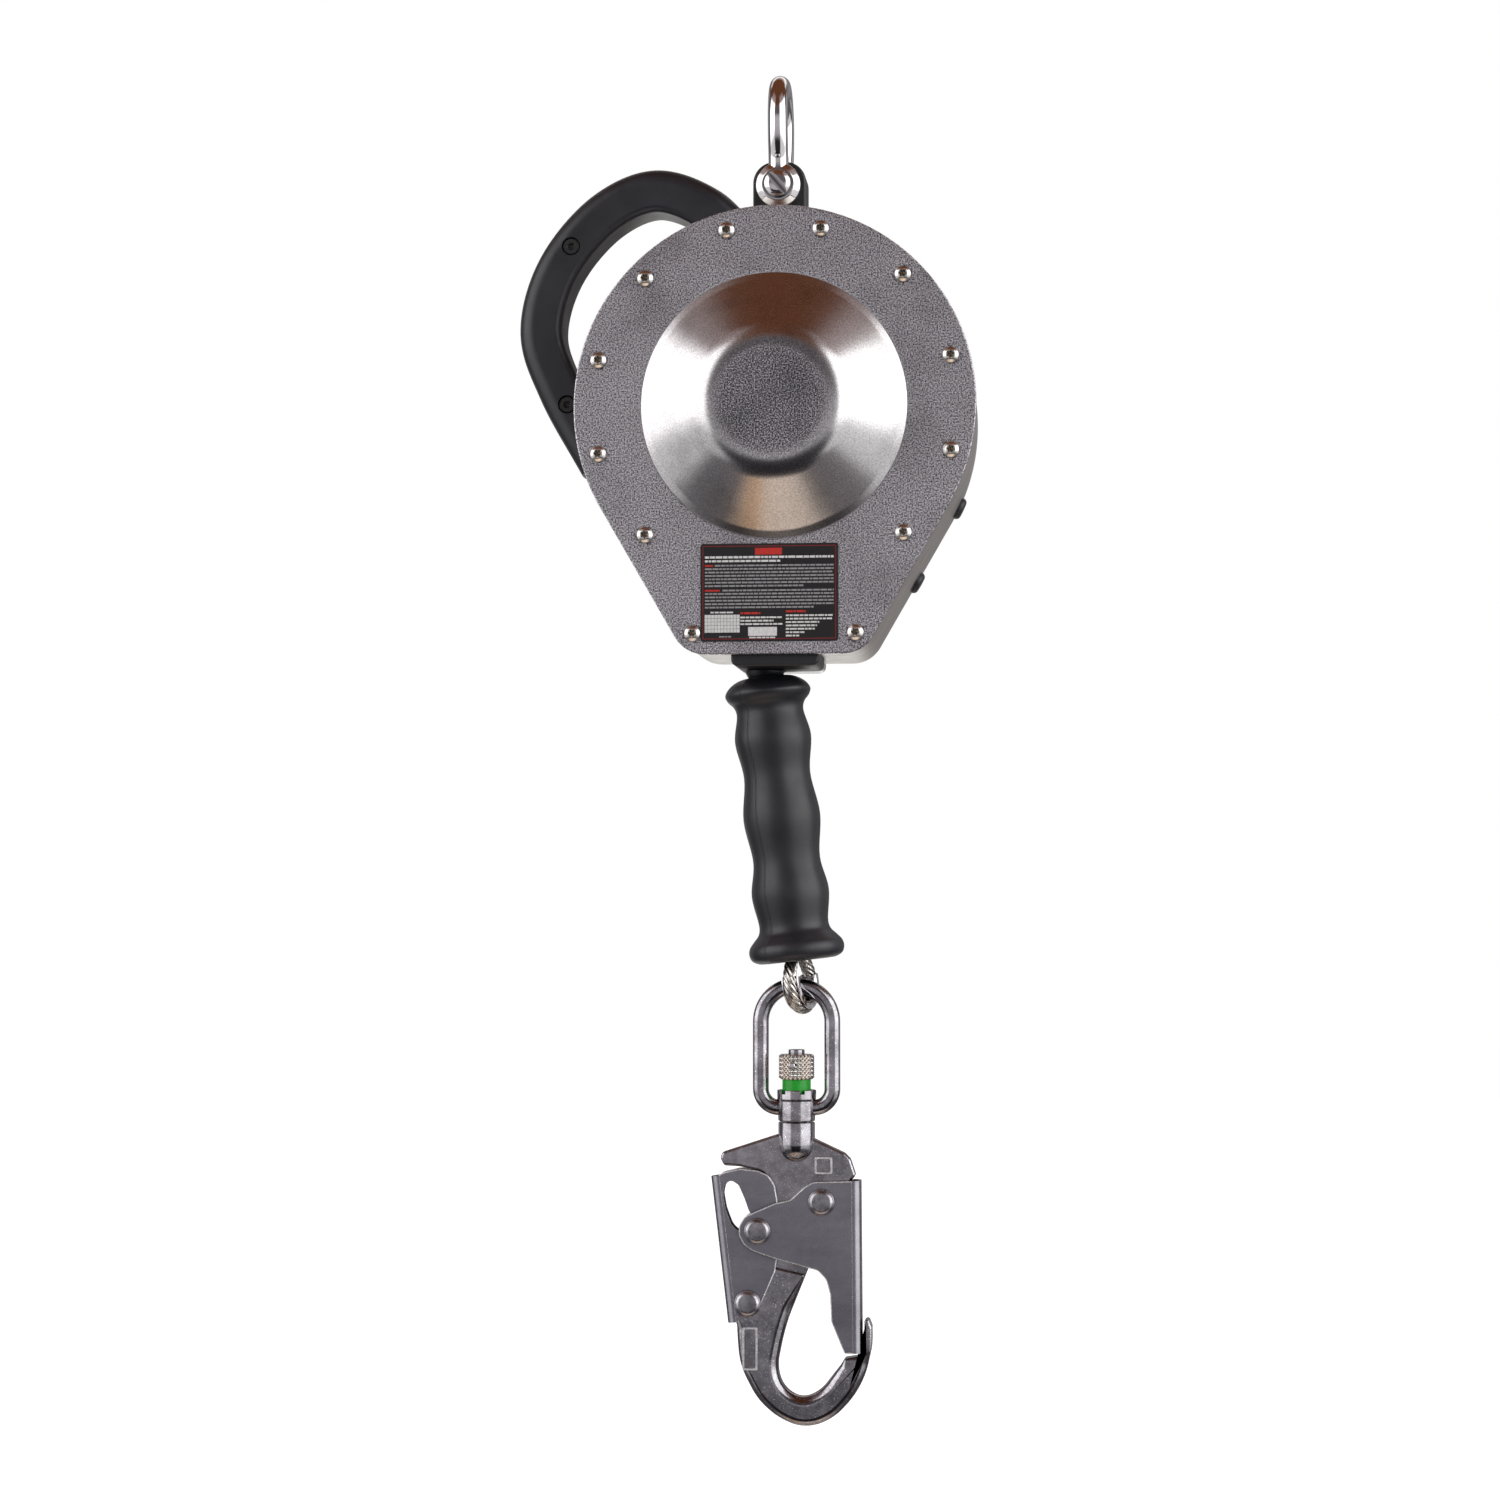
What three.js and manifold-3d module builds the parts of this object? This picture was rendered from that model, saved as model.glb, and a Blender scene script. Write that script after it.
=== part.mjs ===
// Self retracting lifeline: a cable fall-arrest block that hangs from a shackle.
// Units are millimetres. +Z is up, the front cover faces -Y, +X is to the right.
// The origin is the inside of the shackle's crown, where the anchor bears.
import * as THREE from 'three';
import Module from 'manifold-3d';

const wasm = await Module();
wasm.setup();

// ---- Driving dimensions -------------------------------------------------------------
const GAP = 0.05; // between faces that rest on each other
const PLAY = 0.12; // round a fixed pin, screw or plug
const RUNNING = 0.08; // radial play where something turns

const HUB_Z = -150; // drum axis, which runs along Y at x = 0
const COVER_R = 91;
const COVER_FLAT = 112.5; // from the drum axis down to the flat bottom
const COVER_CORNER = 16;
const COVER_T = 2;
const HALF_DEPTH = 40; // to the outer face of either cover
const DOME_BASE_R = 60.5;
const DOME_TOP_R = 27;
const DOME_H = 18;
const GASKET_T = 1.5;
const SHELL_INSET = 1.2; // the covers overhang the side wall by this
const SHELL_WALL = 3;
const RIM_WIDTH = 14; // screw rim inside the wall
const RIM_T = 4;
const SHELL_HALF = HALF_DEPTH - COVER_T - GASKET_T - 2 * GAP;

const SCREW_PCD_R = 82.4;
const SCREW_ANGLES = [-45, -15, 15, 45, 75, 105, 135, 165, 195, 225];
const LOW_SCREWS = [[-36.7, -103], [36.7, -103]];
const SCREW_HEAD_R = 3.7;
const SCREW_HEAD_H = 2.4;
const SCREW_R = 1.9;

const PIN_Z = -44.8; // shackle pin axis
const PIN_R = 5;
const BOW_R = 4.6; // shackle bar
const CROWN_R = 18; // bow centre line
const EYE_R = 10.3;
const EYE_IN = 9.4;
const EYE_OUT = 18.6;
const LUG_HALF_X = 12.25;
const LUG_HALF_Y = 9;
const LUG_TOP = -32.2;

const ROPE_R = 2.5;
const WRAP_R = 60; // centre line of the outermost turn of rope
const DRUM_BORE = 6;
const BARREL_R = 34.5;
const FLANGE_R = 66;
const PLATE_T = 3;
const FRONT_PLATE_Y = -27;
const REAR_PLATE_Y = 27;
const PAWL_RING_R = 38;
const TEETH = 16;

const LEAN = 6.4; // the grip leans this many degrees from the vertical
const MOUTH = new THREE.Vector3(-7.6, 0, -265); // where the rope leaves the nozzle
const DOWN = new THREE.Vector3(Math.sin(rad(LEAN)), 0, -Math.cos(rad(LEAN)));
const EYE_YAW = 18; // the rope eye is turned this far about the vertical
const EYE_BEND_R = 12.1; // rope centre line round the thimble
const EYE_Z = -410.1;

const SWIVEL_X = 6.9;
const LINK_BAR_R = 3.6;
const LINK_BEND_R = 16.4;
const LINK_CROWN_Z = -411.6;
const LINK_LOW_Z = -467.2;
const BOSS_TOP = -459.1;
const BOSS_LOW = -473.3;
const HOOK_TOP = -473.6; // hook seat: the hook's own frame starts here
const GATE_PIVOT = [11.7, -36.1];
const GATE_PIN = [-17.5, -49.4];
const LEVER_PIVOT = [-22.1, -82.3];
const RIVET_R = 2;
const RIVET_HEAD_R = 5.9;

// ---- Materials ----------------------------------------------------------------------
function paint(color, roughness, metalness) {
  return new THREE.MeshStandardMaterial({ color, roughness, metalness });
}

const BLASTED = paint(0x77757c, 0.55, 0.8);
const WALL = paint(0xa29d99, 0.5, 0.7);
const POLISHED = paint(0xb9b4b2, 0.15, 1);
const FORGED = paint(0x85838c, 0.25, 1);
const SHEET = paint(0x75737b, 0.35, 1);
const ZINC = paint(0xb4b0a8, 0.35, 0.9);
const RUBBER = paint(0x1c1d1f, 0.75, 0);
const PLASTIC = paint(0x141414, 0.5, 0);
const LABEL = paint(0x101010, 0.4, 0);
const GREEN = paint(0x14a312, 0.5, 0);
const ALUMINIUM = paint(0x9ea1a5, 0.4, 0.8);
const LINING = paint(0x4a3d33, 0.9, 0);
const SPRING = paint(0x3c4048, 0.4, 0.9);

// ---- Small helpers ------------------------------------------------------------------
function rad(degrees) {
  return degrees * Math.PI / 180;
}

function arc(cx, cz, r, from, to, steps) {
  return Array.from({ length: steps + 1 }, (_, i) => {
    const a = rad(from + (to - from) * i / steps);
    return [cx + r * Math.cos(a), cz + r * Math.sin(a)];
  });
}

const ring = (cx, cz, r, sides) => arc(cx, cz, r, 0, 360, sides).slice(0, sides);
const path2 = (points) => new THREE.Path(points.map(([x, y]) => new THREE.Vector2(x, y)));

// An outline in X and Z, made into a plate between two Y values.
function slab(outline, holes, yFront, yBack) {
  const shape = new THREE.Shape(outline.map(([x, z]) => new THREE.Vector2(x, z)));
  shape.holes = holes.map(path2);
  const plate = new THREE.ExtrudeGeometry(shape, { depth: yBack - yFront, bevelEnabled: false });
  return plate.rotateX(Math.PI / 2).translate(0, yBack, 0);
}

// A profile of [radius, height] pairs turned about an axis through a point.
function turned(profile, sides, origin, axis = [0, 1, 0]) {
  const points = profile.map(([r, h]) => new THREE.Vector2(r, h));
  if (profile[0][0] > 0) points.push(points[0].clone());
  const body = outward(new THREE.LatheGeometry(points, sides));
  const up = new THREE.Vector3(0, 1, 0);
  const turn = new THREE.Quaternion().setFromUnitVectors(up, new THREE.Vector3(...axis).normalize());
  return body.applyQuaternion(turn).translate(...origin);
}

const rod = (r, y0, y1, x, z, sides) => turned([[0, y0], [r, y0], [r, y1], [0, y1]], sides, [x, 0, z]);
const rodZ = (r, z0, z1, x, sides) =>
  turned([[0, z0], [r, z0], [r, z1], [0, z1]], sides, [x, 0, 0], [0, 0, 1]);

function block(x0, x1, y0, y1, z0, z1) {
  return slab([[x0, z0], [x1, z0], [x1, z1], [x0, z1]], [], y0, y1);
}

// Rings of points joined into one skin, with its ends closed. `section` is the rings' flat
// outline.
function loft(rings, section) {
  const count = rings[0].length;
  const last = (rings.length - 1) * count;
  const index = [];
  for (let start = 0; start < last; start += count) {
    for (let j = 0; j < count; j += 1) {
      const a = start + j;
      const b = start + (j + 1) % count;
      index.push(a, b, b + count, a, b + count, a + count);
    }
  }
  const outline = section.map(([u, v]) => new THREE.Vector2(u, v));
  const clockwise = THREE.ShapeUtils.isClockWise(outline);
  THREE.ShapeUtils.triangulateShape(outline, []).forEach(([a, b, c]) => {
    if (clockwise) index.push(a, b, c, last + a, last + c, last + b);
    else index.push(a, c, b, last + a, last + b, last + c);
  });
  const skin = new THREE.BufferGeometry();
  const flat = rings.flat().flatMap((p) => [p.x, p.y, p.z]);
  skin.setAttribute('position', new THREE.Float32BufferAttribute(flat, 3));
  skin.setIndex(index);
  return outward(skin);
}

// Turns a closed skin's faces outwards, by the sign of its volume.
function outward(skin) {
  const position = skin.attributes.position;
  const index = [...skin.index.array];
  const at = (i) => new THREE.Vector3().fromBufferAttribute(position, i);
  let volume = 0;
  for (let i = 0; i < index.length; i += 3) {
    volume += at(index[i]).dot(at(index[i + 1]).cross(at(index[i + 2])));
  }
  skin.setIndex(volume < 0 ? index.reverse() : index);
  return skin;
}

// A section of [across, along-side] pairs carried down a flat path; `side` is the path
// plane's normal.
function swept(points, section, side) {
  const rings = points.map((p, i) => {
    const before = points[Math.max(i - 1, 0)];
    const after = points[Math.min(i + 1, points.length - 1)];
    const ahead = after.clone().sub(before).normalize();
    const across = ahead.clone().cross(side).normalize();
    return section.map(([u, v]) => p.clone().addScaledVector(across, u).addScaledVector(side, v));
  });
  return loft(rings, section);
}

const round = (r, sides) => ring(0, 0, r, sides);

function toSolid(geometry) {
  const clean = geometry.clone();
  clean.deleteAttribute('normal');
  clean.deleteAttribute('uv');
  const merged = mergeAt(clean);
  return new wasm.Manifold(new wasm.Mesh({ numProp: 3, ...merged }));
}

function mergeAt(geometry) {
  const position = geometry.attributes.position;
  const seen = new Map();
  const verts = [];
  const remap = [];
  for (let i = 0; i < position.count; i += 1) {
    const point = [position.getX(i), position.getY(i), position.getZ(i)];
    const key = point.map((value) => Math.round(value * 1e4)).join();
    if (!seen.has(key)) {
      seen.set(key, seen.size);
      verts.push(...point);
    }
    remap.push(seen.get(key));
  }
  const index = geometry.index ? [...geometry.index.array] : remap.map((_, i) => i);
  const tris = [];
  for (let i = 0; i < index.length; i += 3) {
    const [a, b, c] = [remap[index[i]], remap[index[i + 1]], remap[index[i + 2]]];
    if (a !== b && b !== c && a !== c) tris.push(a, b, c);
  }
  return { vertProperties: new Float32Array(verts), triVerts: new Uint32Array(tris) };
}

function toGeometry(solid) {
  const mesh = solid.getMesh();
  const geometry = new THREE.BufferGeometry();
  const flat = [];
  for (let i = 0; i < mesh.vertProperties.length; i += mesh.numProp) {
    flat.push(...mesh.vertProperties.slice(i, i + 3));
  }
  geometry.setAttribute('position', new THREE.Float32BufferAttribute(flat, 3));
  geometry.setIndex([...mesh.triVerts]);
  return geometry;
}

function joined(first, ...rest) {
  return toGeometry(rest.reduce((sum, g) => sum.add(toSolid(g)), toSolid(first)));
}

function cut(first, ...rest) {
  return toGeometry(rest.reduce((sum, g) => sum.subtract(toSolid(g)), toSolid(first)));
}

const scene = new THREE.Group();

function part(name, geometry, material) {
  const flat = geometry.index ? geometry.toNonIndexed() : geometry;
  flat.computeVertexNormals();
  const mesh = new THREE.Mesh(flat, material);
  mesh.name = name;
  scene.add(mesh);
}

// ---- Shackle ------------------------------------------------------------------------
function shackle() {
  const crownZ = BOW_R - CROWN_R;
  const legEnds = [[13.9, PIN_Z + 6], [14.2, -32], [16.6, -24]];
  const half = [...legEnds, ...arc(0, crownZ, CROWN_R, 0, 90, 8)];
  const mirrored = half.slice(0, -1).reverse().map(([y, z]) => [-y, z]);
  const line = [...half, ...mirrored].map(([y, z]) => new THREE.Vector3(0, y, z));
  const bow = swept(line, round(BOW_R, 12), new THREE.Vector3(1, 0, 0));
  const front = rod(EYE_R, -EYE_OUT, -EYE_IN, 0, PIN_Z, 24);
  const rear = rod(EYE_R, EYE_IN, EYE_OUT, 0, PIN_Z, 24);
  const bore = rod(PIN_R + PLAY, -30, 30, 0, PIN_Z, 24);
  const gate = block(-8, 8, -EYE_IN, EYE_IN, -54, -30);
  part('shackle_bow', cut(joined(bow, front, rear), gate, bore), POLISHED);

  const headIn = -EYE_OUT - GAP;
  const headOut = headIn - 4;
  const profile = [
    [0, headOut], [5.2, headOut], [6.1, headOut + 0.9], [6.1, headIn], [PIN_R, headIn],
    [PIN_R, 20.5], [0, 20.5],
  ];
  const slot = block(-8, 8, headOut - 1, headOut + 1.6, -0.9, 0.9).rotateY(rad(50));
  slot.translate(0, 0, PIN_Z);
  part('shackle_pin', cut(turned(profile, 24, [0, 0, PIN_Z]), slot), POLISHED);
}

// ---- Housing ------------------------------------------------------------------------
// The covers' outline: a circle with two tangents 30 degrees from the vertical that run
// to a flat bottom. `inset` moves it inwards all round.
function coverOutline(inset, steps) {
  const r = COVER_R - inset;
  const corner = Math.max(COVER_CORNER - inset, 3);
  const cz = corner - COVER_FLAT + inset;
  const cx = (r - corner + 0.5 * cz) / Math.cos(rad(30));
  const right = arc(cx, cz, corner, -90, -30, 4);
  const top = arc(0, 0, r, -30, 210, steps);
  const left = arc(-cx, cz, corner, 210, 270, 4);
  return [...right, ...top, ...left].map(([x, z]) => [x, z + HUB_Z]);
}

const screwPlaces = [
  ...SCREW_ANGLES.flatMap((angle) => arc(0, 0, SCREW_PCD_R, angle, angle, 1).slice(1)),
  ...LOW_SCREWS,
].map(([x, z]) => [x, z + HUB_Z]);

const screwHoles = (r) => screwPlaces.map(([x, z]) => ring(x, z, r, 8));

function cover(name, facing, holes) {
  const outer = HALF_DEPTH;
  const inner = HALF_DEPTH - COVER_T;
  const top = HALF_DEPTH + DOME_H;
  const profile = [
    [0, top], [DOME_TOP_R - 2, top], [DOME_TOP_R + 1.5, top - 1], [DOME_BASE_R, outer],
    [DOME_BASE_R, inner], [DOME_BASE_R - 3.4, inner], [DOME_TOP_R, top - COVER_T - 1],
    [DOME_TOP_R - 3, top - COVER_T], [0, top - COVER_T],
  ];
  const dome = turned(profile, 40, [0, 0, HUB_Z], [0, facing, 0]);
  const faces = [facing * inner, facing * outer].sort((a, b) => a - b);
  const mouth = ring(0, HUB_Z, DOME_BASE_R - 1.2, 40);
  const plate = slab(coverOutline(0, 40), [mouth, ...holes], ...faces);
  part(name, joined(plate, dome), BLASTED);
}

function gasket(name, facing, holes) {
  const inner = SHELL_HALF + GAP;
  const faces = [facing * inner, facing * (inner + GASKET_T)].sort((a, b) => a - b);
  const middle = coverOutline(RIM_WIDTH, 36);
  part(name, slab(coverOutline(0.5, 36), [middle, ...holes], ...faces), RUBBER);
}

// The two plugs sit in the right slanted wall, near the rear cover.
const PLUG_Y = 28;

function plugFrame(angle, along) {
  const normal = [Math.cos(rad(angle)), 0, Math.sin(rad(angle))];
  const reach = COVER_R - SHELL_INSET;
  const x = reach * normal[0] + along * normal[2];
  const z = HUB_Z + reach * normal[2] - along * normal[0];
  return { normal, place: [x, PLUG_Y, z] };
}

const PLUGS = [plugFrame(-26, 0), plugFrame(-30, 33.6)];

function shell() {
  const steps = 40;
  const outer = slab(coverOutline(SHELL_INSET, steps), [], -SHELL_HALF, SHELL_HALF);
  const roomHalf = SHELL_HALF - RIM_T;
  const room = slab(coverOutline(SHELL_INSET + SHELL_WALL, steps), [], -roomHalf, roomHalf);
  const mouth = slab(coverOutline(RIM_WIDTH, steps), [], -SHELL_HALF - 1, SHELL_HALF + 1);
  const holeEnd = RIM_T - SHELL_HALF + 1;
  const holes = screwPlaces.map(([x, z]) => rod(SCREW_R + PLAY + 0.1, -SHELL_HALF - 1, holeEnd, x, z, 8));
  const [slotX, slotY] = [LUG_HALF_X + 0.3, LUG_HALF_Y + 0.3];
  const lugSlot = block(-slotX, slotX, -slotY, slotY, -66, -55);
  const nozzle = rodZ(10.3, -265, -255, MOUTH.x, 20);
  const bore = [[0, -8], [2.6, -8], [2.6, 3], [0, 3]];
  const stems = PLUGS.map(({ normal, place }) => turned(bore, 10, place, normal));
  part('housing_shell', cut(outer, room, mouth, ...holes, lugSlot, nozzle, ...stems), WALL);
  PLUGS.forEach(({ normal, place }, i) => {
    const profile = [[0, -5], [2.4, -5], [2.4, 0.2], [5.2, 0.2], [5.2, 1.6], [4.2, 2.4], [0, 2.4]];
    part(`side_plug_${i + 1}`, turned(profile, 12, place, normal), RUBBER);
  });
}

function coverScrews() {
  const seat = -HALF_DEPTH - GAP;
  const top = seat - SCREW_HEAD_H;
  const end = RIM_T - SHELL_HALF;
  const profile = [
    [0, top + 1.4], [1.5, top + 1.4], [1.5, top], [2.5, top], [SCREW_HEAD_R, top + 1.1],
    [SCREW_HEAD_R, seat], [SCREW_R, seat], [SCREW_R, end], [0, end],
  ];
  screwPlaces.forEach(([x, z], i) => {
    part(`cover_screw_${String(i + 1).padStart(2, '0')}`, turned(profile, 8, [x, 0, z]), ZINC);
  });
}

function ratingPlate() {
  const [halfX, halfZ, cx, cz] = [31, 22, -2, HUB_Z - 84.7];
  const corners = [[1, -1, -90], [1, 1, 0], [-1, 1, 90], [-1, -1, 180]];
  const r = 1.5;
  const outline = corners.flatMap(([sx, sz, from]) => (
    arc(cx + sx * (halfX - r), cz + sz * (halfZ - r), r, from, from + 90, 2)));
  const back = -HALF_DEPTH - GAP;
  part('rating_plate', slab(outline, [], back - 0.5, back), LABEL);
}

function nozzle() {
  const bottom = HUB_Z - COVER_FLAT + SHELL_INSET - GAP;
  const low = -267.5;
  const side = 19.7;
  const r = 3;
  const outline = [
    ...arc(side - r, low + r, r, -90, 0, 3), [side, bottom],
    [-side, bottom], ...arc(r - side, low + r, r, 180, 270, 3),
  ];
  const plate = slab(outline, [], -36, 14);
  part('nozzle_guard', cut(plate, rodZ(9.8, low - 1, bottom + 1, MOUTH.x, 20)), RUBBER);

  const profile = [
    [6.4, -266.8], [9.6, -266.8], [9.6, -258], [13, -258], [13, -254], [8.6, -254],
    [3.4, -259.5], [3.4, -264],
  ];
  part('nozzle_bush', turned(profile, 20, [MOUTH.x, 0, 0], [0, 0, 1]), PLASTIC);
}

// ---- Carry handle -------------------------------------------------------------------
const HANDLE_LINE = [
  [-20, -66.5], [-34, -52.8], [-57.6, -44.5], [-80.8, -53.7], [-103.5, -80.4], [-111, -110],
  [-102.4, -136.3], [-83, -171.5],
];
const HANDLE_SCREWS = [[-97.8, -69.4], [-100.2, -142]];

function carryHandle() {
  const curve = new THREE.CatmullRomCurve3(HANDLE_LINE.map(([x, z]) => new THREE.Vector3(x, 0, z)));
  const [across, deep, r] = [10.2, 12, 4];
  const corners = [[1, -1, -90], [1, 1, 0], [-1, 1, 90], [-1, -1, 180]];
  const section = corners.flatMap(([su, sv, from]) => (
    arc(su * (across - r), sv * (deep - r), r, from, from + 90, 2)));
  const bar = swept(curve.getSpacedPoints(26), section, new THREE.Vector3(0, 1, 0));
  const seat = rod(COVER_R - SHELL_INSET + 0.2, -20, 20, 0, HUB_Z, 72);
  const sockets = HANDLE_SCREWS.map(([x, z]) => rod(4.2, -deep - 1, 3 - deep, x, z, 16));
  part('carry_handle', cut(bar, seat, ...sockets), RUBBER);
  HANDLE_SCREWS.forEach(([x, z], i) => {
    const profile = [
      [0, 2.4 - deep], [1.6, 2.4 - deep], [1.6, 0.4 - deep], [4, 0.4 - deep],
      [4, 2.9 - deep], [0, 2.9 - deep],
    ];
    part(`handle_screw_${i + 1}`, turned(profile, 12, [x, 0, z]), PLASTIC);
  });
}

// ---- Load path inside the housing ---------------------------------------------------
const CROSS_BOLT = [0, -72.5];
const LOW_BOLT = [20, -232];

function anchorLug() {
  const r = 9.8;
  const right = arc(LUG_HALF_X - r, LUG_TOP - r, r, 0, 90, 5);
  const left = arc(r - LUG_HALF_X, LUG_TOP - r, r, 90, 180, 5);
  const top = [...right, ...left];
  const lug = slab([[LUG_HALF_X, -70], ...top, [-LUG_HALF_X, -70]], [], -LUG_HALF_Y, LUG_HALF_Y);
  const head = block(-18, 18, FRONT_PLATE_Y + PLATE_T + GAP, REAR_PLATE_Y - GAP, -79, -66);
  const pinBore = rod(PIN_R + RUNNING, -12, 12, 0, PIN_Z, 24);
  const boltBore = rod(3 + PLAY, -40, 40, ...CROSS_BOLT, 12);
  part('anchor_lug', cut(joined(lug, head), pinBore, boltBore), PLASTIC);
}

function loadPlates() {
  const half = [[26, -240], [34, -225], [34, -90], [20, -68]];
  const strip = [...half, ...half.map(([x, z]) => [-x, z]).reverse()];
  const bolts = [CROSS_BOLT, LOW_BOLT].map(([x, z]) => rod(3 + PLAY, -40, 40, x, z, 12));
  const front = slab(strip, [], FRONT_PLATE_Y, FRONT_PLATE_Y + PLATE_T);
  part('load_plate_front', cut(front, rod(12, -40, 0, 0, HUB_Z, 24), ...bolts), ZINC);
  const rear = slab(strip, [], REAR_PLATE_Y, REAR_PLATE_Y + PLATE_T);
  const disc = rod(FLANGE_R, REAR_PLATE_Y, REAR_PLATE_Y + PLATE_T, 0, HUB_Z, 36);
  const shaftHole = rod(DRUM_BORE + PLAY, 0, 40, 0, HUB_Z, 24);
  part('load_plate_rear', cut(joined(rear, disc), shaftHole, ...bolts), ZINC);

  const [f, b] = [FRONT_PLATE_Y, REAR_PLATE_Y + PLATE_T];
  const nearHead = [[0, f - 3], [5, f - 3], [5, f - GAP], [3, f - GAP]];
  const farHead = (thick) => [[3, b + GAP], [5, b + GAP], [5, b + thick], [0, b + thick]];
  const cross = [...nearHead, ...farHead(2)];
  part('cross_bolt', turned(cross, 12, [CROSS_BOLT[0], 0, CROSS_BOLT[1]]), ZINC);
  const [fi, bi] = [f + PLATE_T + GAP, REAR_PLATE_Y - GAP];
  const spacer = [...nearHead, [3, fi], [5, fi], [5, bi], [3, bi], ...farHead(3)];
  part('frame_spacer', turned(spacer, 12, [LOW_BOLT[0], 0, LOW_BOLT[1]]), ZINC);
}

function springMotor() {
  const y0 = FRONT_PLATE_Y - GAP;
  const y1 = y0 - 12;
  const eye = DRUM_BORE + PLAY;
  const profile = [
    [12.5, y0], [48, y0], [48, y1], [eye, y1], [eye, y1 + 1.2], [46.6, y1 + 1.2],
    [46.6, y0 - 1.2], [12.5, y0 - 1.2],
  ];
  part('spring_case', turned(profile, 32, [0, 0, HUB_Z]), PLASTIC);

  const [turns, perTurn, inner, outer] = [4, 16, 12.9, 45.4];
  const line = Array.from({ length: turns * perTurn + 1 }, (_, i) => {
    const a = 2 * Math.PI * i / perTurn;
    const r = inner + (outer - inner) * i / (turns * perTurn);
    return new THREE.Vector3(r * Math.cos(a), (y0 + y1) / 2, HUB_Z + r * Math.sin(a));
  });
  const strip = [[-0.4, -4], [0.4, -4], [0.4, 4], [-0.4, 4]];
  part('mainspring', swept(line, strip, new THREE.Vector3(0, 1, 0)), SPRING);
}

function drum() {
  const shaft = [[0, -41], [DRUM_BORE, -41], [DRUM_BORE, 30.1], [9, 30.1], [9, 34.5], [0, 34.5]];
  part('drum_shaft', turned(shaft, 32, [0, 0, HUB_Z]), ZINC);

  const bore = DRUM_BORE + RUNNING;
  const spool = [
    [bore, -36.5], [11, -36.5], [11, -23], [FLANGE_R, -23], [FLANGE_R, -21], [BARREL_R, -21],
    [BARREL_R, 15], [FLANGE_R, 15], [FLANGE_R, 17], [12, 17], [12, 26.4], [bore, 26.4],
  ];
  part('cable_drum', turned(spool, 32, [0, 0, HUB_Z]), ALUMINIUM);

  const [first, last] = [-20.8, 14.8];
  const top = WRAP_R - ROPE_R - 0.2;
  const pack = [[BARREL_R + PLAY, first], [top, first], [top, last], [BARREL_R + PLAY, last]];
  part('cable_pack', turned(pack, 32, [0, 0, HUB_Z]), ZINC);
}

// Two centrifugal pawls on the drum's rear flange, and the toothed brake ring round them.
function brake() {
  const pawl = [...arc(PAWL_RING_R, 0, 4.6, 150, 330, 6), [49, 6], [47.4, 14.6], [45, 14.6], [40, 9]];
  [0, 180].forEach((angle, i) => {
    const turn = (g) => g.rotateY(rad(-angle)).translate(0, 0, HUB_Z);
    const tip = slab(pawl, [ring(PAWL_RING_R, 0, 2.5 + 2 * RUNNING, 12)], 17.6, 22.6);
    part(`pawl_${i + 1}`, turn(tip), FORGED);
    const pin = turned([[0, 17 + GAP], [2.5, 17 + GAP], [2.5, 23], [0, 23]], 12, [PAWL_RING_R, 0, 0]);
    part(`pawl_pin_${i + 1}`, turn(pin), ZINC);
  });

  const [tip, root, outer, pitch] = [50.5, 57, 64, 360 / TEETH];
  const teeth = Array.from({ length: TEETH }, (_, i) => {
    const a = 11.5 + pitch * i;
    return [...arc(0, HUB_Z, root, a - 7.5, a + 7.5, 2), ...arc(0, HUB_Z, tip, a + 9, a + 12, 1)];
  }).flat();
  part('brake_ring', slab(ring(0, HUB_Z, outer, 48), [teeth], 18, 23.2), FORGED);
  const lining = slab(ring(0, HUB_Z, 63, 32), [ring(0, HUB_Z, 52, 32)], 23.5, REAR_PLATE_Y - GAP);
  part('brake_lining', lining, LINING);
}

// ---- Rope ---------------------------------------------------------------------------
const alongGrip = (s) => MOUTH.clone().addScaledVector(DOWN, s);

function cableRun() {
  const throat = new THREE.Vector3(MOUTH.x - 1.2, 0, -256);
  const reach = Math.hypot(throat.x, throat.z - HUB_Z);
  const bearing = Math.atan2(throat.z - HUB_Z, throat.x) * 180 / Math.PI + 360;
  const touch = bearing - Math.acos(WRAP_R / reach) * 180 / Math.PI;
  const wrap = arc(0, HUB_Z, WRAP_R, touch - 70, touch, 8).map(([x, z]) => new THREE.Vector3(x, 0, z));
  const line = [...wrap, throat, new THREE.Vector3(MOUTH.x - 0.2, 0, -260), alongGrip(1)];
  part('cable_run', swept(line, round(ROPE_R, 10), new THREE.Vector3(0, 1, 0)), ZINC);
  const sideways = new THREE.Vector3(0, 1, 0);
  part('cable_lead', swept([alongGrip(1.2), alongGrip(60)], round(ROPE_R, 10), sideways), ZINC);
}

// The rope eye's own axes: `wide` across the eye in its plane, `normal` out of its plane.
function eyeFrame() {
  const level = new THREE.Vector3(Math.sin(rad(EYE_YAW)), Math.cos(rad(EYE_YAW)), 0);
  const wide = level.addScaledVector(DOWN, -level.dot(DOWN)).normalize();
  const normal = wide.clone().cross(DOWN).normalize();
  const centre = alongGrip((MOUTH.z - EYE_Z) / -DOWN.z);
  const at = (u, s) => centre.clone().addScaledVector(wide, u).addScaledVector(DOWN, s);
  return { wide, normal, centre, at };
}

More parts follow.
